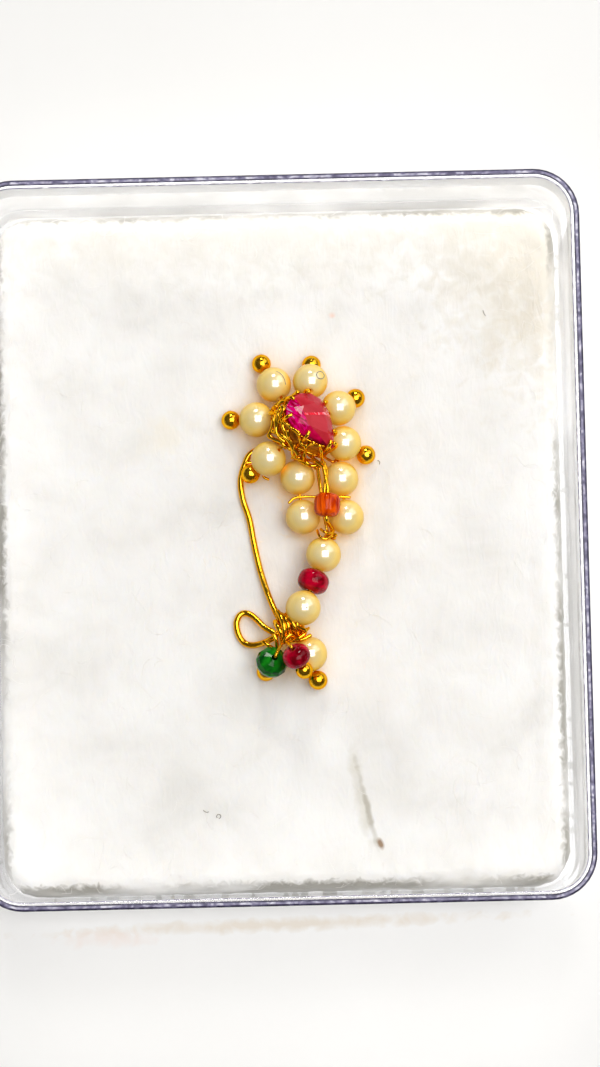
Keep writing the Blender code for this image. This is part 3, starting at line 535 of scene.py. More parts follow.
def rounded_end(centre, way, reach, side):
    """Ever smaller rings past one end of a wire, outwards. Side is -1 at its start and 1 at its end."""
    return [(centre + way * (side * math.sqrt(1 - share ** 2) * reach * END_DEPTH), way, reach * share)
            for share in END_RINGS]


def add_tube(model, path, radius, sides=WIRE_SIDES, closed=False):
    """A round wire along a path, with rounded ends. Radius is a number or a function of the path's share."""
    around = path[-1:] + path + path[:1] if closed else path[:1] + path + path[-1:]
    ways = [(after - before).normalized() for before, after in zip(around, around[2:])]
    reaches = [radius(share) if callable(radius) else radius for share in shares(len(path) - 1)]
    stations = list(zip(path, ways, reaches))
    if not closed:
        stations = rounded_end(*stations[0], -1)[::-1] + stations + rounded_end(*stations[-1], 1)
    side = ways[0].orthogonal().normalized()
    rings = []
    for centre, way, reach in stations:
        side = (side - way * side.dot(way)).normalized()
        other = way.cross(side)
        rings.append(add_ring(model, [
            centre + (side * math.cos(turn) + other * math.sin(turn)) * reach for turn in turns(sides)
        ]))
    for low, high in zip(rings, rings[1:]):
        bridge(model, low, high)
    if closed:
        nearest = min(range(sides), key=lambda k: (rings[-1][0].co - rings[0][k].co).length)
        bridge(model, rings[-1], rings[0][nearest:] + rings[0][:nearest])
    else:
        model.faces.new(rings[0][::-1])
        model.faces.new(rings[-1])


def add_wire(node, path, thickness=FINE_WIRE, sides=WIRE_SIDES):
    model = bmesh.new()
    add_tube(model, path, thickness / 2, sides)
    settle(as_object(node + "_fine", model, ["gold"]), node, PIN)


def add_bead(node, slot, profile, sides, axis, place, flute=None, faceted=False):
    """A profile, as reach and height from top to bottom, turned about the axis and closed at its bore."""
    model = bmesh.new()
    rings = []
    for reach, height in profile:
        round_it = turns(sides) if reach else [0.0]
        own = [reach * (flute(turn) if flute else 1.0) for turn in round_it]
        rings.append(add_ring(model, [
            (size * math.cos(turn), size * math.sin(turn), height) for size, turn in zip(own, round_it)
        ]))
    if profile[0][0]:
        rings.append(rings[0])
    for high, low in zip(rings, rings[1:]):
        bridge(model, low, high)
    turn = axis.to_track_quat("Z", "Y").to_matrix().to_4x4()
    bmesh.ops.transform(model, matrix=Matrix.Translation(place) @ turn, verts=model.verts)
    name = node + ("_cut" if faceted else "_smooth")
    settle(as_object(name, model, [slot], not faceted), node, PIN)


def bead_profile(diameter, length, bore=BEAD_BORE, squareness=2.0, steps=PROFILE_STEPS):
    """Outer side of a drilled bead, top to bottom. Squareness 2 is an ellipse, and more is a barrel."""
    first = math.asin((bore / diameter) ** (squareness / 2))
    profile = []
    for share in shares(steps):
        angle = first + (math.pi - 2 * first) * share
        along = math.cos(angle)
        up = length / 2 * math.copysign(abs(along) ** (2 / squareness), along)
        profile.append((diameter / 2 * math.sin(angle) ** (2 / squareness), up))
    return profile


# Materials

class Tree:
    """The nodes of a material or of the world, with short ways to add to them."""

    def __init__(self, owner):
        owner.use_nodes = True
        self.owner = owner
        self.tree = owner.node_tree

    def fill(self, node, inputs):
        """Link or set a node's inputs, and give back the material."""
        for key, value in inputs.items():
            socket = node.inputs[key]
            if isinstance(value, bpy.types.NodeSocket):
                self.tree.links.new(value, socket)
            else:
                socket.default_value = (*value, 1.0) if socket.type == "RGBA" else value
        return self.owner

    def surface(self, inputs):
        return self.fill(self.tree.nodes["Principled BSDF"], inputs)

    def add(self, kind, inputs, **settings):
        made = self.tree.nodes.new("ShaderNode" + kind)
        for key, value in settings.items():
            setattr(made, key, value)
        self.fill(made, inputs)
        return made.outputs

    def place(self):
        """Place in the piece's own coordinates."""
        return self.add("TexCoord", {})["Object"]

    def noise(self, waves, detail=3.0, distortion=0.0, stretch=None):
        """Value of a noise with this many waves per millimetre."""
        place = self.place()
        if stretch:
            place = self.add("Mapping", {"Vector": place, "Scale": stretch})["Vector"]
        inputs = {"Vector": place, "Scale": waves / MM, "Detail": detail, "Distortion": distortion}
        return self.add("TexNoise", inputs)["Fac"]

    def ramp(self, value, *stops):
        color = self.add("ValToRGB", {"Fac": value})["Color"]
        band = color.node.color_ramp
        while len(band.elements) < len(stops):
            band.elements.new(0.5)
        for element, (position, tint) in zip(band.elements, stops):
            element.position = position
            element.color = (*tint, 1.0)
        return color

    def span(self, value, low, high, first=0.0, last=1.0):
        """A value between first and last, drawn out to run from low to high."""
        inputs = {"Value": value, "From Min": first, "From Max": last, "To Min": low, "To Max": high}
        return self.add("MapRange", inputs)["Result"]

    def math(self, operation, *values):
        return self.add("Math", dict(enumerate(values)), operation=operation)["Value"]

    def mix(self, factor, first, second, blend="MIX"):
        """Mix of two colours. Other sockets of the node share these names, so they go by their place."""
        inputs = {0: factor, 6: first, 7: second}
        return self.add("Mix", inputs, data_type="RGBA", blend_type=blend)[2]

    def bump(self, height, strength, distance):
        return self.add("Bump", {"Height": height, "Strength": strength, "Distance": distance})["Normal"]

    def openness(self, distance, inside=False):
        """1 in the open and 0 in a narrow gap, from what stands within this distance."""
        return self.add("AmbientOcclusion", {"Distance": distance}, samples=6, only_local=inside)["AO"]


def new_look(name):
    return Tree(bpy.data.materials.new(name))


def gold_look():
    look = new_look("gold_plate")
    tint = look.ramp(look.noise(0.9, 4.0),
                     (0.30, (0.80, 0.36, 0.010)), (0.55, (0.93, 0.49, 0.025)), (0.80, (1.00, 0.60, 0.05)))
    # Painted shade: the gold turns darker and warmer in its narrow gaps, for light bounced between the wires.
    shade = look.ramp(look.openness(0.5 * MM), (0.15, (0.95, 0.68, 0.10)), (0.70, WHITE))
    return look.surface({
        "Base Color": look.mix(0.9, tint, shade, "MULTIPLY"),
        "Metallic": 1.0,
        "Specular Tint": (0.95, 0.62, 0.20),
        "Roughness": look.span(look.noise(2.6), 0.07, 0.20),
        "Normal": look.bump(look.noise(2.4), 0.45, 0.08 * MM),
    })


def shaded_gold_look():
    """The gallery's wall: a darker amber copy of the gold, painted shade for the dark gaps behind the strands.
    """
    look = new_look("gold_shaded")
    return look.surface({
        "Base Color": look.ramp(look.noise(0.8, 4.0, 1.0), (0.35, (0.30, 0.10, 0.003)),
                                (0.55, (0.62, 0.25, 0.008)), (0.72, (0.92, 0.46, 0.03))),
        "Metallic": 0.5,
        "Roughness": look.span(look.noise(2.0), 0.22, 0.40),
        "Normal": look.bump(look.noise(1.6, 3.0, 0.8), 0.5, 0.15 * MM),
    })


def pearl_look():
    """Cream lustre, with painted warm light: yellower the less it faces up and near its neighbours, and a
    faint painted glow in the narrowest gaps.
    """
    look = new_look("pearl_lustre")
    upward = look.add("SeparateXYZ", {"Vector": look.add("NewGeometry", {})["True Normal"]})["Z"]
    cloud = look.span(look.noise(0.35, 3.0, 0.6), -0.25, 0.25)
    # Painted warm reflection: the cream turns yellower the less the surface faces up.
    tint = look.ramp(look.math("ADD", upward, cloud),
                     (0.00, (0.86, 0.50, 0.02)), (0.42, (0.92, 0.60, 0.08)),
                     (0.72, (0.94, 0.685, 0.195)), (0.95, (0.96, 0.775, 0.37)))
    # Painted bounce light: a warmer tint and a faint glow in the narrow gaps beside the gold and the other
    # pearls.
    open_side = look.openness(1.6 * MM)
    painted_warm_light = look.ramp(open_side, (0.20, (1.0, 0.74, 0.24)), (0.85, WHITE))
    rough = look.bump(look.noise(0.9, 4.0), 0.28, 0.06 * MM)
    return look.surface({
        "Base Color": look.mix(0.8, tint, painted_warm_light, "MULTIPLY"),
        "Emission Color": (1.0, 0.60, 0.04),
        "Emission Strength": look.span(open_side, 0.18, 0.0, 0.12, 0.55),
        "Roughness": 0.28,
        "Specular IOR Level": 0.7,
        "Subsurface Weight": 0.15,
        "Subsurface Radius": (1.0, 0.7, 0.3),
        "Subsurface Scale": 0.5 * MM,
        "Coat Weight": look.span(upward, 0.0, 1.0, 0.68, 0.92),
        "Coat Roughness": 0.14,
        "Coat IOR": 2.6,
        "Normal": rough,
        "Coat Normal": rough,
    })


def glass_look(name, deep, bright, transmission, roughness, waves=0.8, stretch=None):
    """Coloured glass: cloudy between two tints, polished, and with painted shade that deepens it at its rim
    and in its hollows.
    """
    look = new_look(name)
    tint = look.ramp(look.noise(waves, 2.0, 0.8, stretch), (0.35, deep), (0.68, bright))
    # Painted shade: the tint deepens towards the rim, and darkens in the hollows.
    slant = look.add("LayerWeight", {"Blend": 0.3})["Facing"]
    tint = look.mix(look.span(slant, 0.0, 0.9, 0.40, 0.95), tint, deep)
    shade = look.ramp(look.openness(0.35 * MM, True), (0.60, (0.30, 0.06, 0.06)), (0.98, WHITE))
    return look.surface({
        "Base Color": look.mix(0.8, tint, shade, "MULTIPLY"),
        "Transmission Weight": transmission,
        "Specular IOR Level": 0.3,
        "IOR": BEAD_IOR,
        "Roughness": look.span(look.noise(2.0), roughness * 0.5, roughness),
        "Normal": look.bump(look.noise(1.5, 2.0), 0.08, 0.05 * MM),
    })


def even_stops(width, tints):
    """Ramp stops for the tints, evenly spaced over this width of the noise's middle range."""
    return [(0.36 + width * share, tint) for share, tint in zip(shares(len(tints) - 1), tints)]


def stone_look(name, waves, tints, stretch=(0.6, 1.6, 1.0)):
    """Cut pink-red stone: streaks of its tints, painted reflections drawn out along the facets, under a
    polished face.
    """
    look = new_look(name)
    return look.surface({
        "Base Color": look.ramp(look.noise(waves, 3.0, 1.5, stretch), *even_stops(0.28, tints)),
        "Specular IOR Level": 0.25,
        "IOR": STONE_IOR,
        "Roughness": look.span(look.noise(1.0), 0.02, 0.07),
    })


def rim_look(name, waves, tints):
    """Edge of the clear plastic, painted with the violet-grey light that the wall carries out to it, as dark
    and pale lines.
    """
    look = new_look(name)
    return look.surface({
        "Base Color": look.ramp(look.noise(waves, 5.0, 0.5), *even_stops(0.30, tints)),
        "Roughness": 0.30,
        "Specular IOR Level": 0.3,
        "IOR": PLASTIC_IOR,
        "Normal": look.bump(look.noise(1.2), 0.2, 0.1 * MM),
    })


def two_tone_look(name, waves, first, second, roughness, sheen=0.0):
    """A matt thing between two tints."""
    look = new_look(name)
    return look.surface({
        "Base Color": look.ramp(look.noise(waves), first, second),
        "Roughness": roughness,
        "Sheen Weight": sheen,
    })


def patch(look, across, along, half_length, half_width, turn, fray):
    """1 in the middle of a frayed oval and 0 outside it. Places and sizes are shares of the box's."""
    own = look.add("Mapping", {
        "Vector": look.place(),
        "Location": (across * BOX_WIDTH, along * BOX_LENGTH, 0.0),
        "Rotation": (0.0, 0.0, math.radians(turn)),
        "Scale": (half_length * BOX_WIDTH, half_width * BOX_LENGTH, 1.0),
    }, vector_type="TEXTURE")["Vector"]
    apart = look.add("VectorMath", {0: own}, operation="LENGTH")["Value"]
    ragged = look.span(look.noise(0.6, 4.0, 0.5), -fray, fray)
    return look.span(look.math("ADD", apart, ragged), 1.0, 0.0, 0.2, 1.0)


def with_patches(look, tint, rows):
    for *form, color, strength in rows:
        tint = look.mix(look.math("MULTIPLY", patch(look, *form, PATCH_FRAY), strength), tint, color)
    return tint


def edge_line(look, half_x, half_y):
    """Frayed dark line close to the pad's edge, painted shadow of the gap at the wall with some dirt in it,
    from its distance to a box of these half sizes.
    """
    parts = look.add("SeparateXYZ", {"Vector": look.place()})
    gaps = [look.math("SUBTRACT", half, look.math("ABSOLUTE", parts[axis]))
            for axis, half in (("X", half_x), ("Y", half_y))]
    ragged = look.span(look.noise(0.8, 5.0, 1.0), -0.8 * MM, 0.8 * MM)
    own = look.math("ADD", look.math("MINIMUM", *gaps), ragged)
    near = look.span(own, 1.0, 0.0, 0.35 * MM, 0.95 * MM)
    return look.math("MULTIPLY", near, look.span(look.noise(0.09), 0.05, 0.8, 0.36, 0.58))


def cotton_look():
    """White wadding with its stains, painted crease shade and a frayed painted shadow along its edge, and
    painted warm light, a tint and a faint glow, where the gold and the pearls stand close over it.
    """
    look = new_look("cotton_wadding")
    tint = look.ramp(look.noise(0.12, 6.0, 0.4),
                     (0.30, (0.81, 0.80, 0.775)), (0.46, (0.88, 0.87, 0.85)), (0.62, (0.92, 0.915, 0.90)))
    tint = with_patches(look, tint, COTTON_PATCHES)
    half_x, half_y, _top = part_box("cotton_pad")[1]
    # Painted shadow with some dirt: the dark frayed line along the pad's edge.
    tint = look.mix(edge_line(look, half_x, half_y), tint, (0.20, 0.185, 0.14))
    # Painted warm light under the nose pin: a warmer tint and a faint glow where its gold and pearls crowd
    # close.
    open_side = look.openness(4.0 * MM)
    painted_warm_light = look.ramp(open_side, (0.20, (1.0, 0.70, 0.18)), (0.60, WHITE))
    under_pin = patch(look, *PIN_BED, 0.0)
    painted_glow = look.span(open_side, 0.38, 0.0, 0.12, 0.42)
    lumps = look.math("ADD", look.noise(0.30, 6.0, 1.5), look.noise(1.0, 4.0, 2.0, (1.0, 0.3, 1.0)))
    return look.surface({
        "Base Color": look.mix(under_pin, tint, look.mix(1.0, tint, painted_warm_light, "MULTIPLY")),
        "Emission Color": (1.0, 0.68, 0.20),
        "Emission Strength": look.math("MULTIPLY", painted_glow, under_pin),
        "Subsurface Weight": 0.5,
        "Subsurface Radius": (1.0, 0.9, 0.75),
        "Subsurface Scale": 1.5 * MM,
        "Roughness": 1.0,
        "Specular IOR Level": 0.05,
        "Sheen Weight": 0.4,
        "Sheen Roughness": 0.6,
        "Normal": look.bump(lumps, 0.22, 0.4 * MM),
    })


def plastic_look():
    """Clear plastic: light goes straight through it, its surface mirrors at a slant, and a faint painted glow
    brightens its walls.
    """
    look = new_look("clear_polystyrene")
    look.surface({
        "Base Color": (0.98, 0.98, 0.985),
        "Transmission Weight": 0.85,
        # Painted light: a faint white glow that brightens the walls.
        "Emission Color": WHITE,
        "Emission Strength": 0.065,
        "IOR": PLASTIC_IOR,
        "Roughness": look.span(look.noise(0.15), 0.01, 0.05),
        "Normal": look.bump(look.noise(0.12, 2.0), 0.03, 0.3 * MM),
    })
    polished = look.tree.nodes["Principled BSDF"].outputs["BSDF"]
    clear = look.add("BsdfTransparent", {"Color": (0.97, 0.97, 0.98)})["BSDF"]
    in_shadow = look.add("LightPath", {})["Is Shadow Ray"]
    either = look.add("MixShader", {0: in_shadow, 1: polished, 2: clear})["Shader"]
    return look.fill(look.tree.nodes["Material Output"], {"Surface": either})


def floor_look():
    look = new_look("studio_floor")
    tint = look.ramp(look.noise(0.01), (0.35, (0.86, 0.86, 0.85)), (0.7, (0.90, 0.90, 0.895)))
    return look.surface({"Base Color": with_patches(look, tint, FLOOR_PATCHES), "Roughness": 0.55})


# Layout of the nose pin, in its own frame

def pear_point(angle, inset=0.0):
    """Point of the stone's pear outline at an angle in degrees from its tip, moved in by the inset."""
    turn = math.radians(angle)
    side = math.sin(turn) * abs(math.sin(turn / 2)) / PEAR_WIDEST
    return Vector(((STONE_LENGTH / 2 - inset) * math.cos(turn), (STONE_WIDTH / 2 - inset) * side, 0.0))


def pear_outward(angle):
    ahead = pear_point(angle + 2) - pear_point(angle - 2)
    return Vector((ahead.y, -ahead.x, 0.0)).normalized()


def pear_ring(count, height, shift=0.5, inset=0.0, share=1.0):
    """Points round the stone's outline at this height."""
    points = [pear_point(360.0 * (step + shift) / count, inset) * share for step in range(count)]
    return [point + UP * height for point in points]


def pear_reach(turn):
    """Distance of the gallery's outside from the seat's axis in the direction of this turn."""
    aim = Vector((math.cos(turn), math.sin(turn), 0.0))
    points = [pear_point(angle, SETTING_INSET) for angle in range(0, 360, 5)]
    return max(points, key=lambda point: point.normalized().dot(aim)).length


def petal_places():
    """Pearl, ball, way outward and eye of each petal, from the ball that rests up."""
    places = {}
    for number, bearing, reach, ball_bearing, ball_fall, eye_bearing in PETALS:
        flat = direction(bearing) * reach * PEARL_DIAMETER
        outward = direction(ball_bearing, -ball_fall)
        ball_height = REST_GAP + BALL_DIAMETER / 2
        if number == HOOKED_PETAL:
            ball_height += HOOKED_BALL_LIFT
        centre = Vector((flat.x, flat.y, ball_height - outward.z * PEARL_TO_BALL))
        places[number] = (centre, centre + outward * PEARL_TO_BALL, outward, eye_bearing)
    return places


def orange_bead_place():
    across, along = (share * PEARL_DIAMETER for share in ORANGE_BEAD_PLACE)
    height = REST_GAP + ORANGE_BEAD_DIAMETER / 2
    clear = (ORANGE_BEAD_DIAMETER + PEARL_DIAMETER) / 2 + GAP
    for centre in PAIRS.values():
        beside = abs(centre.x - across)
        if abs(centre.y - along) < PEARL_DIAMETER / 2 and beside < clear:
            height = max(height, centre.z + math.sqrt(clear ** 2 - beside ** 2))
    return Vector((across, along, height))


def coil_start():
    """Start of the coil's axis, under pearl 12."""
    height = REST_GAP + FINE_WIRE + GAP + COIL_DIAMETER / 2
    clear = (PEARL_DIAMETER + COIL_DIAMETER) / 2 + GAP
    below_pearl = math.sqrt(max(clear ** 2 - (PEARL_12.z - height) ** 2, 0.0))
    slant = math.cos(math.radians(COIL_BEARING))
    under = Vector((PEARL_12.x, PEARL_12.y - below_pearl / slant, height))
    return under + COIL_AXIS * (COIL_START_ACROSS * PEARL_DIAMETER / slant)


def round_coil(centre, reach, angle):
    """Point beside the coil's axis: 0 degrees is its far side, 90 its top and 180 its near side."""
    turn = math.radians(angle)
    far = Vector((-COIL_AXIS.y, COIL_AXIS.x, 0.0))
    return centre + (far * math.cos(turn) + UP * math.sin(turn)) * reach


def drop_places():
    """Place of each drop's bead, its way to its ball and how far that is, laid up from the cotton."""
    flat = {}
    ways = {}
    for name, across, along, bearing, fall in DROPS:
        flat[name] = (COIL_MIDDLE.x + across * PEARL_DIAMETER, COIL_MIDDLE.y + along * PEARL_DIAMETER)
        ways[name] = direction(bearing, -fall)
    pearl = Vector((*flat["pearl"], REST_GAP + PEARL_DIAMETER * (0.5 + DROP_PEARL_LIFT)))
    green_chain = (GREEN_BEAD_LENGTH + BALL_DIAMETER) / 2 + GAP
    green = Vector((*flat["green"], REST_GAP + BALL_DIAMETER / 2 - ways["green"].z * green_chain))
    red_chain = (DROP_RED_LENGTH + SMALL_BALL_DIAMETER) / 2 + GAP
    ball_flat = Vector((*flat["red"], 0.0)) + ways["red"] * red_chain
    below = [(pearl, PEARL_DIAMETER / 2), (green, GREEN_BEAD_DIAMETER / 2)]
    over_pearl = height_over(ball_flat, SMALL_BALL_DIAMETER / 2, below[:1])
    over_both = height_over(flat["red"], DROP_RED_DIAMETER / 2, below)
    red = Vector((*flat["red"], max(over_both, over_pearl - ways["red"].z * red_chain)))
    return {
        "pearl": (pearl, ways["pearl"], PEARL_TO_BALL),
        "red": (red, ways["red"], red_chain),
        "green": (green, ways["green"], green_chain),
    }


PIN = Matrix.Translation((PIN_ACROSS * BOX_WIDTH, PIN_ALONG * BOX_LENGTH, COTTON_TOP))
PIN = PIN @ Matrix.Rotation(PIN_TURN, 4, "Z")
FLOWER = petal_places()
PAIRS = {number: Vector((across * PEARL_DIAMETER, along * PEARL_DIAMETER, PEARL_REST))
         for number, across, along in PAIR_PEARLS}
ORANGE_BEAD = orange_bead_place()
STEM_WAY = direction(STEM_BEARING, STEM_RISE)
STEM_STEP = STEM_WAY * ((PEARL_DIAMETER + STEM_RED_LENGTH) / 2 + STEM_GAP)
PEARL_11 = Vector((*STEM_PEARL_PLACE, STEM_PEARL_LIFT)) * PEARL_DIAMETER + UP * PEARL_REST
STEM_RED = PEARL_11 + STEM_STEP
PEARL_12 = PEARL_11 + STEM_STEP * 2
COIL_AXIS = direction(COIL_BEARING)
COIL_PITCH = THICK_WIRE + GAP
COIL_START = coil_start()
COIL_MIDDLE = COIL_START + COIL_AXIS * (COIL_PITCH * (COIL_TURNS - 0.05) / 2)
DROP_PLACES = drop_places()

# The seat's own axes, along the stone, across it and out of its table, and its place over the pearls
STONE_WAY = direction(SETTING_BEARING)
FLAT_SIDE = direction(SETTING_BEARING + 90.0)
STONE_SIDE = FLAT_SIDE * math.cos(SETTING_TILT) - UP * math.sin(SETTING_TILT)
STONE_UP = FLAT_SIDE * math.sin(SETTING_TILT) + UP * math.cos(SETTING_TILT)
TALLEST = max(FLOWER[number][0].z for number in PEARLS_UNDER_STONE)
LOW_SIDE = (STONE_WIDTH / 2 + PRONG_WIDTH) * math.sin(SETTING_TILT)
STONE_MIDDLE = Vector((SEAT_ACROSS, SEAT_ALONG, SEAT_CLEAR)) * PEARL_DIAMETER + UP * (TALLEST + LOW_SIDE)
SEAT_TURN = Matrix((STONE_WAY, STONE_SIDE, STONE_UP)).transposed().to_4x4()
SEAT = PIN @ Matrix.Translation(STONE_MIDDLE) @ SEAT_TURN
RING_CENTRE = STONE_MIDDLE - STONE_UP * (SETTING_HEIGHT + RING_DROP)


# Pieces of the nose pin

def eye_path(bearing, thickness=FINE_WIRE):
    """An eye round the setting's foot ring. It starts at its top, where the wire arrives from outside."""
    turn = math.radians(bearing - SETTING_BEARING)
    outward = STONE_WAY * math.cos(turn) + STONE_SIDE * math.sin(turn)
    tangent = STONE_SIDE * math.cos(turn) - STONE_WAY * math.sin(turn)
    on_ring = RING_CENTRE + outward * (RING_DIAMETER / 2)
    reach = (RING_WIRE + thickness) / 2 + GAP
    past_wall = pear_reach(turn) - RING_DIAMETER / 2 + thickness
    path = [on_ring + STONE_UP * reach + outward * max(past_wall, reach * 1.6)]
    for share in shares(EYE_STEPS):
        angle = math.pi / 2 + math.radians(EYE_TURN) * share
        path.append(
            on_ring
            + (outward * math.cos(angle) + STONE_UP * math.sin(angle)) * reach
            + tangent * (thickness + GAP) * share
        )
    return path


def from_eye(bearing, points, thickness=FINE_WIRE, bend=FINE_BEND, steps=8):
    """Path of a wire from the inner end of its eye, with round bends at the points."""
    eye = eye_path(bearing, thickness)
    return eye[:1:-1] + bent_path([eye[1], eye[0], *points], bend, steps)


def add_pearl(number, place, axis):
    """A drilled pearl, a little out of round."""
    luck = random.Random(SEED + int(number))
    wobble = [(luck.uniform(-0.006, 0.006), luck.uniform(0, math.tau), count) for count in (2, 3)]

    def flute(turn):
        return 1 + sum(size * math.cos(count * turn + start) for size, start, count in wobble)

    profile = bead_profile(PEARL_DIAMETER, PEARL_DIAMETER, PEARL_BORE, steps=PEARL_STEPS)
    rim = profile[0][1]
    lip = [(PEARL_BORE / 2 * share, rim - PEARL_LIP * depth) for share, depth in ((0.62, 1.5), (0.9, 0.4))]
    profile = lip + profile + [(reach, -height) for reach, height in lip[::-1]]
    add_bead(f"pearl_{number:0>2}", "pearl", profile, BEAD_SIDES, axis, place, flute)


def add_ball(number, place, outward, diameter=BALL_DIAMETER):
    """A gold ball with a blind hole for its wire."""
    radius = diameter / 2
    turn = math.pi - math.asin(BEAD_BORE / diameter)
    steps = shares(PROFILE_STEPS)
    profile = [(radius * math.sin(turn * share), radius * math.cos(turn * share)) for share in steps]
    bore = BEAD_BORE / 2 * 0.8
    profile += [(bore, profile[-1][1] + 0.1 * MM), (bore, 0.0), (0.0, 0.0)]
    add_bead(f"gold_ball_{number}", "gold", profile, BALL_SIDES, outward, place)


def add_petals():
    for number, (centre, ball, outward, eye_bearing) in FLOWER.items():
        add_pearl(number, centre, outward)
        add_ball(number, ball, outward)
        mouth = centre - outward * (PEARL_DIAMETER / 2 + HOLE_TO_BEND)
        add_wire(f"petal_pin_{number}", from_eye(eye_bearing, [mouth, ball - outward * GAP])[::-1])


def add_pairs():
    for node, upper, lower, eye_bearing, bends in SIDE_WIRES:
        way = (PAIRS[lower] - PAIRS[upper]).normalized()
        add_pearl(upper, PAIRS[upper], way)
        add_pearl(lower, PAIRS[lower], way)
        mouth = PAIRS[upper] - way * (PEARL_DIAMETER / 2 + HOLE_TO_BEND)
        end = PAIRS[lower] + way * (PEARL_DIAMETER * 0.4)
        add_wire(node, from_eye(eye_bearing, [*in_pearls(bends), mouth, end]))
    add_wire("cross_wire", smooth_path(in_pearls(CROSS_WIRE_ROUTE)))


def add_hook():
    """The thick wire from beside the setting down the left side, which ends in the coil."""
    rest = REST_GAP + THICK_WIRE / 2
    route = [Vector((across * PEARL_DIAMETER, along * COIL_START.y, rest + height * PEARL_DIAMETER))
             for across, along, height in HOOK_ROUTE]
    reach = (COIL_DIAMETER - THICK_WIRE) / 2
    coil = []
    for step in range(int(COIL_TURNS * COIL_STEPS) + 1):
        turn = step / COIL_STEPS
        coil.append(round_coil(COIL_START + COIL_AXIS * (COIL_PITCH * turn), reach, 90.0 + 360.0 * turn))
    arrival = COIL_START + Vector((-COIL_PITCH * 0.25, reach * 1.25, reach * 0.88))
    add_wire("hook_wire", smooth_path(route + [arrival, coil[0]]) + coil[1:], THICK_WIRE, THICK_SIDES)


def add_loop():
    """The teardrop loop: from inside the coil out to the left, round, and back over its own start."""
    rest = REST_GAP + THICK_WIRE / 2
    mouth = COIL_START - COIL_AXIS * (THICK_WIRE * 1.05)
    route = [COIL_START + COIL_AXIS * (COIL_PITCH * (COIL_TURNS - 1.0)), COIL_START + COIL_AXIS * COIL_PITCH]
    for out, side, height in LOOP_ROUTE:
        up = rest + height * (COIL_START.z - rest)
        route.append(Vector((mouth.x - out * LOOP_LENGTH, mouth.y + side * LOOP_WIDTH, up)))
    add_wire("loop_wire", smooth_path(route, 6), THICK_WIRE, THICK_SIDES)


def add_stem():
    """The orange bead, pearl 11, the red bead and pearl 12, on their wire from the foot ring to the coil."""
    bead_way = direction(ORANGE_BEAD_BEARING)

    def cuts(turn):
        return 1 - 0.045 * max(0.0, 1 - 3.5 * abs(math.sin(4.5 * turn)))

    profile = bead_profile(ORANGE_BEAD_DIAMETER, ORANGE_BEAD_LENGTH, squareness=3.2)
    add_bead("orange_bead", "orange_glass", profile, CUT_BEAD_SIDES, bead_way, ORANGE_BEAD, cuts)
    add_pearl("11", PEARL_11, STEM_WAY)
    profile = bead_profile(STEM_RED_DIAMETER, STEM_RED_LENGTH, squareness=2.6)
    add_bead("red_bead_stem", "red_glass", profile, BEAD_SIDES, STEM_WAY, STEM_RED)
    add_pearl("12", PEARL_12, STEM_WAY)
    half_bead = bead_way * (ORANGE_BEAD_LENGTH / 2 + HOLE_TO_BEND)
    half_pearl = PEARL_DIAMETER / 2 + FINE_WIRE
    route = [
        Vector(STEM_TURN_PLACE) * PEARL_DIAMETER,
        ORANGE_BEAD - half_bead,
        ORANGE_BEAD + half_bead,
        PEARL_11 - STEM_WAY * (half_pearl + WRAP_DIAMETER * 0.6),
        PEARL_12 + STEM_WAY * half_pearl,
    ]
    for place in in_pearls(STEM_TAIL_ROUTE):
        route.append(Vector((COIL_MIDDLE.x + place.x, COIL_MIDDLE.y + place.y, place.z)))
    add_wire("stem_wire", from_eye(STEM_EYE_BEARING, route, STEM_WIRE, STEM_BEND, 10), STEM_WIRE)


def add_back_wire():
    """The second wire behind the orange bead, which wraps the stem wire above pearl 11."""
    eye = eye_path(BACK_EYE_BEARING)
    side = STEM_WAY.cross(UP).normalized()
    over = side.cross(STEM_WAY).normalized()
    reach = (WRAP_DIAMETER - FINE_WIRE) / 2
    first_wrap = PEARL_11 - STEM_WAY * (PEARL_DIAMETER / 2 + FINE_WIRE + WRAP_DIAMETER * 0.37)
    wraps = []
    for share in shares(40):
        turn = 2 * math.tau * share
        along = STEM_WAY * (2 * (FINE_WIRE + GAP) * share)
        wraps.append(first_wrap + along + (side * math.cos(turn) - over * math.sin(turn)) * reach)
    path = smooth_path([eye[1], eye[0], *in_pearls(BACK_WIRE_ROUTE), *wraps[:2]])
    add_wire("back_wire", eye[:1:-1] + path + wraps[2:])


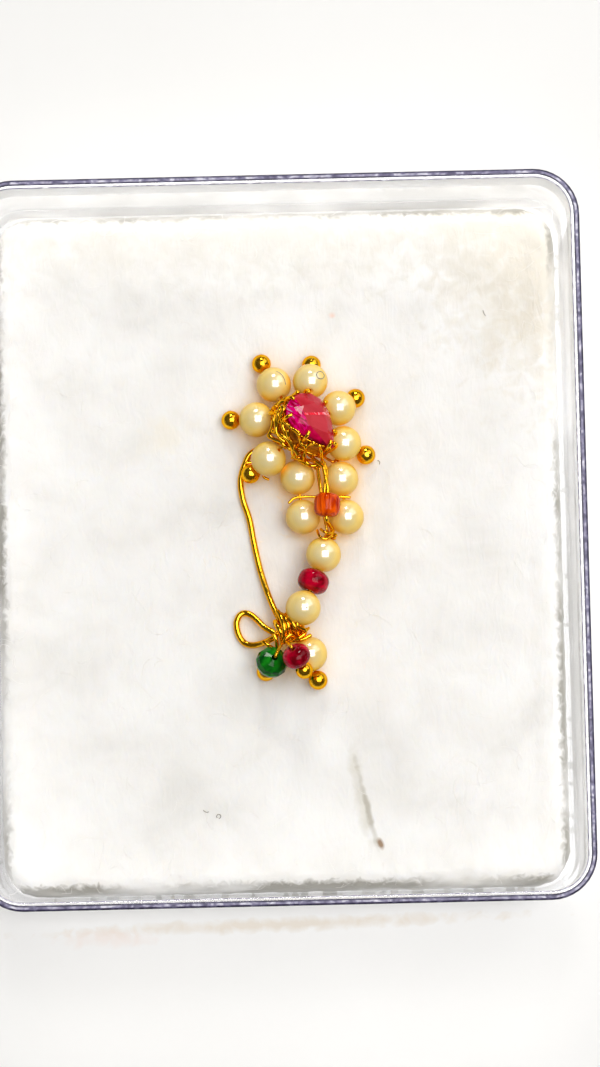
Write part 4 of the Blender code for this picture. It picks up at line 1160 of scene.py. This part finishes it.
def add_drops():
    """Three short drops, each a wire from the coil through one bead to a gold ball."""
    pearl, pearl_way, pearl_chain = DROP_PLACES["pearl"]
    red, red_way, red_chain = DROP_PLACES["red"]
    green, green_way, green_chain = DROP_PLACES["green"]
    add_pearl("13", pearl, pearl_way)
    add_ball("7", pearl + pearl_way * pearl_chain, pearl_way)
    profile = bead_profile(DROP_RED_DIAMETER, DROP_RED_LENGTH, squareness=2.3)
    add_bead("red_bead_drop", "red_glass", profile, BEAD_SIDES, red_way, red)
    add_ball("8", red + red_way * red_chain, red_way, SMALL_BALL_DIAMETER)
    profile = bead_profile(GREEN_BEAD_DIAMETER, GREEN_BEAD_LENGTH, squareness=2.2, steps=FACET_ROWS)
    add_bead("green_bead", "green_glass", profile, FACET_SIDES, green_way, green, faceted=True)
    add_ball("9", green + green_way * green_chain, green_way)

    far_end = COIL_START + COIL_AXIS * (COIL_PITCH * COIL_TURNS)
    outside = far_end + COIL_AXIS * THICK_WIRE
    add_wire("drop_wire_pearl", bent_path([
        pearl + pearl_way * (pearl_chain - GAP),
        pearl - pearl_way * (PEARL_DIAMETER / 2 + HOLE_TO_BEND),
        outside + UP * (COIL_DIAMETER * 0.36),
        outside,
        far_end - COIL_AXIS * (COIL_PITCH * 0.35),
    ]))
    reach = (COIL_DIAMETER + FINE_WIRE) / 2 + GAP
    for name, length, along in (("red", DROP_RED_LENGTH, 0.38), ("green", GREEN_BEAD_LENGTH, -0.35)):
        place, way, chain = DROP_PLACES[name]
        centre = COIL_START + COIL_AXIS * (COIL_PITCH * along)
        hole = place - way * (length / 2 + HOLE_TO_BEND)
        hook = [round_coil(centre, reach, angle) for angle in range(180, 341, 10)]
        above = hook[0].copy()
        above.z = centre.z + (hole.z - centre.z) * DROP_WIRE_LIFT
        path = bent_path([place + way * (chain - GAP), hole, above, hook[0]])
        add_wire(f"drop_wire_{name}", path + hook[1:])


def add_strands():
    """The thin ends of wire twisted together round the setting, each a little uneven."""
    luck = random.Random(SEED)
    model = bmesh.new()
    for from_angle, from_depth, to_angle, to_depth, bow in STRANDS:
        route = []
        for share in shares(6):
            angle = from_angle + (to_angle - from_angle) * share
            depth = from_depth + (to_depth - from_depth) * share + bow * 4 * share * (1 - share)
            depth += luck.uniform(-0.03, 0.03)
            out = STRAND_OUT + STRAND_SPREAD * max(depth, 0.0) + luck.uniform(-0.10, 0.10) * MM
            route.append(pear_point(angle) + pear_outward(angle) * out - UP * (depth * SETTING_HEIGHT))
        thick = STRAND_WIRE * luck.uniform(0.85, 1.15) / 2

        def swelling(share):
            return thick * (1.0 + 0.35 * max(0.0, abs(share - 0.5) - 0.38) / 0.12)

        add_tube(model, smooth_path(route, 5), swelling, THIN_SIDES)
    settle(as_object("setting_strands", model, ["gold"]), None, SEAT)


def add_loose_ends():
    """The bare ends of wire lapped over the coil and twisted beside the stem."""
    model = bmesh.new()
    for rows, thickness in ((COIL_LAPS, LAP_WIRE), (WIRE_TAILS, TAIL_WIRE), (LOOSE_ENDS, FINE_WIRE)):
        for row in rows:
            add_tube(model, smooth_path(in_pearls(row)), thickness / 2, THIN_SIDES)
    settle(as_object("loose_ends", model, ["gold"]), None, PIN)


def add_pearl_marks():
    """Thin dark lines grown into the skin of three pearls."""
    centres = {"1": FLOWER["1"][0], "2": FLOWER["2"][0], "12": PEARL_12}
    model = bmesh.new()
    for number, line, closed in PEARL_MARKS:
        path = []
        for across, along in line + line[:1] if closed else line:
            up = math.sqrt(1 - across ** 2 - along ** 2)
            path.append(centres[number] + Vector((across, along, up)) * (PEARL_DIAMETER / 2))
        add_tube(model, smooth_path(path, 4), MARK_WIDTH / 2, 6)
    settle(as_object("pearl_marks", model, ["mark"]), None, PIN)


def add_binding():
    """A fine wire twisted round the gold ball next to the hook wire."""
    ball = FLOWER[HOOKED_PETAL][1] - UP * (BINDING_DROP * BALL_DIAMETER / 2)
    route = [ball + direction(bearing) * (reach * BALL_DIAMETER / 2) for bearing, reach in BINDING_ROUTE]
    add_wire("binding_wire", smooth_path(route, 6))


def beyond(line, along, across):
    """Whether a place on the stone lies on the tip's side of a line that runs to the stone's right."""
    start, end = line
    return (end[1] - start[1]) * (along - start[0]) > (end[0] - start[0]) * (across - start[1])


def stone_tint(along, across, crown):
    """Tint of a facet by its place, as shares of the stone's half length and half width: painted rose haze of
    reflected light, lilac-streaked magenta reflections, painted sparkle, or crimson painted shade.
    """
    split, split_end, left_upper, left_lower = STONE_CUTS
    if not crown or along > STONE_TIP:
        return "stone_crimson"
    if beyond(left_upper if along < 0 else left_lower, along, across):
        return "stone_magenta" if along < 0.05 else "stone_crimson"
    if beyond(split, along, across) and not beyond(split_end, along, across):
        return "stone_spark"
    return "stone_rose"


def add_stone():
    """Pear cut: a table, star, kite and half facets on the crown, a girdle, and a pavilion to a short keel."""
    half = STONE_GIRDLE / 2
    model = bmesh.new()
    table, crown, upper, lower, keel = (
        add_ring(model, pear_ring(count, height, shift, 0.0, share)) for count, height, shift, share in (
            (8, half + STONE_CROWN, 0.125, TABLE_SHARE),
            (8, half + STONE_CROWN * 0.52, 0.625, 0.8),
            (16, half, 0.25, 1.0),
            (16, -half, 0.25, 1.0),
            (8, -half - STONE_PAVILION, 0.125, KEEL_SHARE),
        )
    )
    model.faces.new(table)
    model.faces.new(keel[::-1])
    bridge(model, lower, upper)
    for i in range(8):
        j = (i + 1) % 8
        near, middle, far = 2 * i, 2 * i + 1, (2 * i + 2) % 16
        for corners in (
            (table[i], crown[i], table[j]),
            (table[i], upper[near], crown[i]),
            (table[j], crown[i], upper[far]),
            (crown[i], upper[near], upper[middle]),
            (crown[i], upper[middle], upper[far]),
            (keel[i], lower[middle], lower[near]),
            (keel[i], keel[j], lower[middle]),
            (keel[j], lower[far], lower[middle]),
        ):
            model.faces.new(corners)
    half_size = Vector((STONE_LENGTH / 2, STONE_WIDTH / 2, 0.0))
    for start, end in STONE_CUTS:
        corner = Vector((*start, 0.0)) * half_size
        ahead = Vector((*end, 0.0)) * half_size - corner
        everything = model.verts[:] + model.edges[:] + model.faces[:]
        bmesh.ops.bisect_plane(model, geom=everything, plane_co=corner, plane_no=(ahead.y, -ahead.x, 0.0))
    # Each facet's tint paints the light it shows over the stone's own red: reflections, sparkle and shade.
    names = ["stone_rose", "stone_magenta", "stone_crimson", "stone_spark"]
    for face in model.faces:
        middle = face.calc_center_median()
        tint = stone_tint(middle.x / half_size.x, middle.y / half_size.y, middle.z > half)
        face.material_index = names.index(tint)
    settle(as_object("pear_stone_cut", model, names, False), "pear_stone", SEAT)


def claw_path(angle):
    """One claw: up the gallery's outside, past the girdle and over the crown's edge."""
    foot = pear_point(angle, SETTING_INSET)
    edge = pear_point(angle)
    out = pear_outward(angle)
    half = PRONG_WIDTH / 2
    past = half + GAP
    brow = STONE_GIRDLE / 2
    return smooth_path([
        foot - UP * SETTING_HEIGHT,
        foot - UP * SETTING_HEIGHT * 0.55 + out * half * 0.5,
        edge + out * past - UP * (brow + half),
        edge + out * past + UP * brow,
        edge + out * half * 0.4 + UP * (brow + past + half),
        edge - out * half * 1.3 + UP * (brow + past + half * 1.9),
    ], 5)


def claw_radius(share):
    return PRONG_WIDTH / 2 * (1.0 + 0.12 * max(share - 0.75, 0.0))


def add_setting():
    """Gallery, claws, foot ring and its posts, soldered into one piece."""
    inner = SETTING_INSET + SETTING_WALL
    sunk = STONE_PAVILION * (2 * inner / STONE_WIDTH) / (1 - KEEL_SHARE)
    wall_top = -(STONE_GIRDLE / 2 + sunk + GAP)
    model = bmesh.new()
    section = (
        (SETTING_INSET, -SETTING_HEIGHT),
        (SETTING_INSET, wall_top),
        (inner, wall_top),
        (inner, -SETTING_HEIGHT),
    )
    rings = [add_ring(model, pear_ring(GALLERY_SIDES, height, inset=inset)) for inset, height in section]
    # The gallery's wall takes the darker gold, its painted shade.
    for low, high in zip(rings, rings[1:] + rings[:1]):
        bridge(model, low, high, 1)
    for height, thick in ((-SETTING_HEIGHT, FOOT_RAIL), (wall_top, TOP_RAIL)):
        add_tube(model, pear_ring(GALLERY_SIDES, height, inset=SETTING_INSET), thick / 2, 8, True)
    for angle in CLAW_ANGLES:
        add_tube(model, claw_path(angle), claw_radius)
    foot = UP * (-SETTING_HEIGHT - RING_DROP)
    half = RING_DIAMETER / 2
    ring = [Vector((math.cos(turn), math.sin(turn), 0.0)) * half + foot for turn in turns(RING_SIDES)]
    add_tube(model, ring, RING_WIRE / 2, THIN_SIDES, True)
    for angle in POST_ANGLES:
        top = pear_point(angle, SETTING_INSET + SETTING_WALL / 2)
        low = top.normalized() * half + foot
        top.z = RING_WIRE - SETTING_HEIGHT
        add_tube(model, [low, (low + top) / 2, top], SETTING_WALL / 2, 8)
    settle(as_object("claw_setting_fine", model, ["gold", "shaded_gold"]), "claw_setting", SEAT)


# Box and cotton

def rounded_outline(half_x, half_y, corner):
    """Points round a rectangle with round corners."""
    points = []
    for sign_x, sign_y, first in ((1, 1, 0), (-1, 1, 90), (-1, -1, 180), (1, -1, 270)):
        for share in shares(10):
            turn = math.radians(first + 90.0 * share)
            points.append((
                sign_x * (half_x - corner) + corner * math.cos(turn),
                sign_y * (half_y - corner) + corner * math.sin(turn),
            ))
    return points


def narrow(height):
    """How much further in the slanted wall stands at this height than at the rim."""
    return BOX_TAPER * (1 - height / BOX_HEIGHT)


def tray_rows():
    """The wall's section as inset, height and look, from the foot up the outside and down the inside."""
    rows = []
    foot, rim = ([(math.sin(math.pi / 2 * share), math.cos(math.pi / 2 * share)) for share in shares(steps)]
                 for steps in (4, 3))
    for sine, cosine in foot:
        height = BOX_FOOT_ROUND * (1 - cosine)
        rows.append((narrow(height) + BOX_FOOT_ROUND * (1 - sine), height, CLEAR))
    for share in (0.25, 0.5, 0.75):
        rows.append((narrow(BOX_HEIGHT * share), BOX_HEIGHT * share, CLEAR))
    for (sine, cosine), look in zip(rim, (DARK, DARK, DARK, PALE)):
        rows.append((RIM_ROUND * (1 - cosine), BOX_HEIGHT - RIM_ROUND * (1 - sine), look))
    for share, look in RIM_BANDS:
        rows.append((BOX_WALL * share, BOX_HEIGHT, look))
    for (sine, cosine), look in zip(rim, (CLEAR, PALE, CLEAR, CLEAR)):
        rows.append((BOX_WALL - RIM_ROUND * (1 - sine), BOX_HEIGHT - RIM_ROUND * (1 - cosine), look))
    for share in (0.75, 0.5, 0.25):
        rows.append((BOX_WALL + narrow(BOX_HEIGHT * share), BOX_HEIGHT * share, CLEAR))
    for sine, cosine in foot[::-1]:
        height = BOX_WALL + BOX_FOOT_ROUND * (1 - sine)
        rows.append((BOX_WALL + narrow(height) + BOX_FOOT_ROUND * (1 - cosine), height, CLEAR))
    return rows


def add_tray():
    """The open tray with round corners, slanted walls, a soft rim and a round foot."""
    rows = tray_rows()
    model = bmesh.new()
    rings = []
    for inset, height, _look in rows:
        corner = max(BOX_CORNER - inset + narrow(height), 0.5 * MM)
        outline = rounded_outline(BOX_WIDTH / 2 - inset, BOX_LENGTH / 2 - inset, corner)
        rings.append(add_ring(model, [(x, y, height) for x, y in outline]))
    for (_inset, _height, look), low, high in zip(rows, rings, rings[1:]):
        bridge(model, low, high, look)
    model.faces.new(rings[0][::-1])
    model.faces.new(rings[-1])
    piece = as_object("box_tray_clear", model, ["plastic", "rim_edge", "rim_core"])
    for face in piece.data.polygons:
        face.use_smooth = len(face.vertices) == 4
    settle(piece, "box_tray")


def clamp(value, low=0.0, high=1.0):
    return max(low, min(high, value))


def cotton_height(x, y):
    """Rise and fall of the wadding's top, in metres from its nominal height."""
    place = Vector((x, y, 0.0)) / MM
    broad = noise.noise(place * 0.07) * 0.30 + noise.noise(place * 0.19 + Vector((9, 4, 0))) * 0.16
    fine = noise.noise(place * 0.6) * 0.07 + noise.noise(place * 1.7) * 0.03
    return (broad + fine + 0.05) * MM


def pin_spots():
    """Places on the cotton that the nose pin presses down, with the reach of each."""
    pearls = [*PAIRS.values(), PEARL_11, STEM_RED, PEARL_12]
    balls = []
    for centre, ball, _outward, _eye in FLOWER.values():
        pearls.append(centre)
        balls.append(ball)
    for place, way, chain in DROP_PLACES.values():
        pearls.append(place)
        balls.append(place + way * chain)
    wires = [Vector((row[0] * PEARL_DIAMETER, row[1] * COIL_START.y, 0.0)) for row in HOOK_ROUTE]
    for out, side, _height in LOOP_ROUTE:
        wires.append(COIL_START + Vector((-THICK_WIRE - out * LOOP_LENGTH, side * LOOP_WIDTH, 0.0)))
    spots = [(PIN @ COIL_MIDDLE, COIL_DIAMETER / 2)]
    for places, reach in ((pearls, PEARL_DIAMETER / 2), (balls, BALL_DIAMETER / 2), (wires, THICK_WIRE)):
        spots += [(PIN @ place, reach) for place in places]
    return spots


def even_pad():
    """The pad's solid, cut into small even faces."""
    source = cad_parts["cotton_pad"]
    mesh = source.data.copy()
    mesh.name = "cotton_pad_soft"
    piece = new_object("cotton_pad_soft", mesh)
    cut = piece.modifiers.new("even", "REMESH")
    cut.mode = "VOXEL"
    cut.voxel_size = PAD_FACE
    bpy.context.view_layer.update()
    shown = piece.evaluated_get(bpy.context.evaluated_depsgraph_get())
    even = bpy.data.meshes.new_from_object(shown)
    piece.modifiers.clear()
    piece.data = even
    even.materials.clear()
    even.materials.append(looks["cotton"])
    return piece


def add_pad():
    """The wadding: the pad's form with soft hills, a bed under the nose pin and frayed edges."""
    piece = even_pad()
    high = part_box("cotton_pad")[1]
    spots = pin_spots()
    for point in piece.data.vertices:
        place = point.co
        edge = min(high.x - abs(place.x), high.y - abs(place.y))
        top = clamp((place.z - (high.z - PAD_TOP_BAND)) / (0.75 * PAD_TOP_BAND))
        rise = cotton_height(place.x, place.y)
        if edge < PAD_EDGE_BAND:
            rise += noise.noise(place / MM * 0.9) * 0.35 * MM * (1 - edge / PAD_EDGE_BAND)
        near = min(math.hypot(place.x - centre.x, place.y - centre.y) / reach for centre, reach in spots)
        if near < 2.2:
            share = clamp((near - 0.9) / 1.3)
            bed = 0.12 * MM * share - 0.02 * MM
            rise = min(bed * (1 - share) + rise * share, 0.25 * MM)
        place.z += rise * top
        fray = noise.noise(place / MM * 0.7 + Vector((3, 1, 8))) * 0.22 * MM
        fray += noise.noise(place / MM * 2.3) * 0.10 * MM
        for axis in (0, 1):
            if high[axis] - abs(place[axis]) < FRAYED_BAND:
                place[axis] += math.copysign(min(fray, MOST_FRAY), place[axis]) * (1.0 - 0.6 * top)
    for face in piece.data.polygons:
        face.use_smooth = True
    settle(piece, "cotton_pad")


def add_fibres():
    """Loose hairs of the wadding, lying on it in soft curls, thicker along its edges."""
    luck = random.Random(SEED)
    model = bmesh.new()
    low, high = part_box("cotton_pad")
    spots = pin_spots()
    made = 0
    while made < FIBRE_COUNT:
        x = luck.uniform(low.x + 1 * MM, high.x - 1 * MM)
        y = luck.uniform(low.y + 1 * MM, high.y - 1 * MM)
        if made % 3 == 0:
            side = luck.choice((-1, 1))
            if luck.random() < 0.5:
                x = side * (high.x - luck.uniform(0.4, 1.8) * MM)
            else:
                y = side * (high.y - luck.uniform(0.4, 1.8) * MM)
        if any(math.hypot(x - centre.x, y - centre.y) < reach * 1.3 for centre, reach in spots):
            continue
        made += 1
        heading = luck.uniform(0, math.tau)
        bend = luck.uniform(-0.5, 0.5)
        length = luck.uniform(0.25, 0.8) * MM
        path = []
        for share in shares(5):
            edge = min(high.x - abs(x), high.y - abs(y))
            rise = cotton_height(x, y) - max(0.0, PAD_TOP_BAND - edge) * 0.8
            arch = math.sin(math.pi * share) * luck.uniform(0.02, 0.10) * MM
            path.append(Vector((x, y, high.z + min(rise, MOST_RISE) + arch)))
            x = clamp(x + math.cos(heading) * length, low.x, high.x)
            y = clamp(y + math.sin(heading) * length, low.y, high.y)
            heading += bend
        add_tube(model, smooth_path(path, 2), luck.uniform(0.010, 0.022) * MM, 3)
    settle(as_object("cotton_fibres", model, ["fibre"]))


def add_hairs():
    """A few dark hairs that lie on the wadding."""
    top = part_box("cotton_pad")[1].z
    model = bmesh.new()
    steps = 10
    for across, along, length, bearing, curl in STRAY_HAIRS:
        x = across * BOX_WIDTH
        y = along * BOX_LENGTH
        path = []
        for share in shares(steps):
            path.append(Vector((x, y, top + min(cotton_height(x, y), MOST_RISE) + 0.04 * MM)))
            step = direction(bearing + curl * share) * (length * BOX_WIDTH / steps)
            x += step.x
            y += step.y
        add_tube(model, path, HAIR_WIDTH / 2, 5)
    settle(as_object("stray_hairs", model, ["hair"]))


# Camera, floor and light

def add_studio():
    model = bmesh.new()
    bmesh.ops.create_grid(model, x_segments=8, y_segments=8, size=0.9)
    floor = as_object("studio_floor", model, ["floor"])
    floor.location = (0, 0, -0.05 * MM)

    world = bpy.data.worlds.new("soft_room")
    bpy.context.scene.world = world
    room = Tree(world)
    height = room.add("SeparateXYZ", {"Vector": room.add("TexCoord", {})["Generated"]})["Z"]
    tone = room.ramp(height, (0.0, (0.55, 0.54, 0.52)), (0.35, (0.42, 0.41, 0.40)), (1.0, (0.75, 0.75, 0.76)))
    room.fill(world.node_tree.nodes["Background"], {"Color": tone, "Strength": ROOM_LIGHT})

    for name, bearing, lift, distance, size, power, color in LAMPS:
        data = bpy.data.lights.new(name, "AREA")
        data.shape = "SQUARE"
        data.size = size
        data.energy = power
        data.color = color
        lamp = new_object(name, data)
        way = direction(bearing, lift)
        lamp.location = Vector(AIM) + way * distance
        lamp.rotation_euler = way.to_track_quat("Z", "Y").to_euler()


def add_camera():
    data = bpy.data.cameras.new("camera")
    data.sensor_fit = "HORIZONTAL"
    data.sensor_width = SENSOR
    data.lens = SENSOR * FRAME_SCALE * CAMERA_DISTANCE / FRAME_WIDTH
    data.clip_start = 0.01
    data.clip_end = 10.0
    eye = new_object("camera", data)
    back = Vector((0, -math.sin(CAMERA_TILT), math.cos(CAMERA_TILT)))
    up = Vector((0, math.cos(CAMERA_TILT), math.sin(CAMERA_TILT)))
    turn = Matrix((up.cross(back), up, back)).transposed() @ Matrix.Rotation(-CAMERA_ROLL, 3, "Z")
    eye.matrix_world = Matrix.Translation(Vector(AIM) + back * CAMERA_DISTANCE) @ turn.to_4x4()
    bpy.context.scene.camera = eye
    bpy.context.scene.view_settings.view_transform = "Standard"


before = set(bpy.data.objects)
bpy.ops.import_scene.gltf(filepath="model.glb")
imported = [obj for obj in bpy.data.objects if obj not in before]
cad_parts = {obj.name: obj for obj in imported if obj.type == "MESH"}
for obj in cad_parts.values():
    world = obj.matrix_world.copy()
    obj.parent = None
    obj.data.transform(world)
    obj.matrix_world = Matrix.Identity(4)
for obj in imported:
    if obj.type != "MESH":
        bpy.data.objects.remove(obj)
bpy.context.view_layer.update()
add_camera()
looks = {
    "gold": gold_look(),
    "pearl": pearl_look(),
    "shaded_gold": shaded_gold_look(),
    "mark": two_tone_look("pearl_mark", 2.0, (0.40, (0.20, 0.19, 0.20)), (0.65, (0.42, 0.36, 0.26)), 0.5),
    "orange_glass": glass_look("orange_glass", (0.38, 0.008, 0.0), (1.0, 0.13, 0.0), 0.0, 0.05, 1.1,
                               (1.8, 0.35, 1.0)),
    "red_glass": glass_look("ruby_glass", (0.16, 0.0, 0.004), (0.66, 0.0, 0.028), 0.05, 0.03),
    "green_glass": glass_look("green_glass", (0.0, 0.045, 0.004), (0.008, 0.24, 0.008), 0.08, 0.04),
    # The stone's tints are its own red with painted light: rose reflected haze, magenta with lilac
    # reflections, crimson shade and bright sparkle.
    "stone_rose": stone_look("stone_rose", 0.25, ((0.46, 0.012, 0.025), (0.56, 0.030, 0.045))),
    "stone_magenta": stone_look("stone_magenta", 0.9, (
        (0.30, 0.0, 0.025), (0.50, 0.0, 0.06), (0.80, 0.0, 0.20), (0.42, 0.0, 0.07), (0.55, 0.20, 0.42),
    ), (0.5, 1.9, 1.0)),
    "stone_crimson": stone_look("stone_crimson", 0.8, (
        (0.16, 0.0, 0.012), (0.46, 0.0, 0.04), (0.60, 0.0, 0.07),
    )),
    "stone_spark": stone_look("stone_spark", 1.4, (
        (0.62, 0.0, 0.012), (0.95, 0.005, 0.03), (1.0, 0.32, 0.38),
    )),
    "cotton": cotton_look(),
    "fibre": two_tone_look("cotton_fibre", 0.5, (0.4, (0.86, 0.84, 0.80)), (0.6, (0.97, 0.96, 0.94)), 0.7,
                           0.5),
    "hair": two_tone_look("stray_hair", 1.0, (0.4, (0.10, 0.09, 0.08)), (0.6, (0.22, 0.20, 0.18)), 0.6),
    "plastic": plastic_look(),
    "rim_edge": rim_look("rim_edge", 0.9, ((0.028, 0.024, 0.055), (0.050, 0.044, 0.095), (0.16, 0.15, 0.24))),
    "rim_core": rim_look("rim_core", 1.1, ((0.10, 0.09, 0.17), (0.27, 0.25, 0.40), (0.72, 0.71, 0.82))),
    "floor": floor_look(),
}
for add_part in (
    add_studio, add_tray, add_stone, add_setting, add_petals, add_pairs, add_stem, add_back_wire, add_hook,
    add_loop, add_drops, add_binding, add_strands, add_loose_ends, add_pearl_marks, add_pad, add_fibres,
    add_hairs,
):
    add_part()
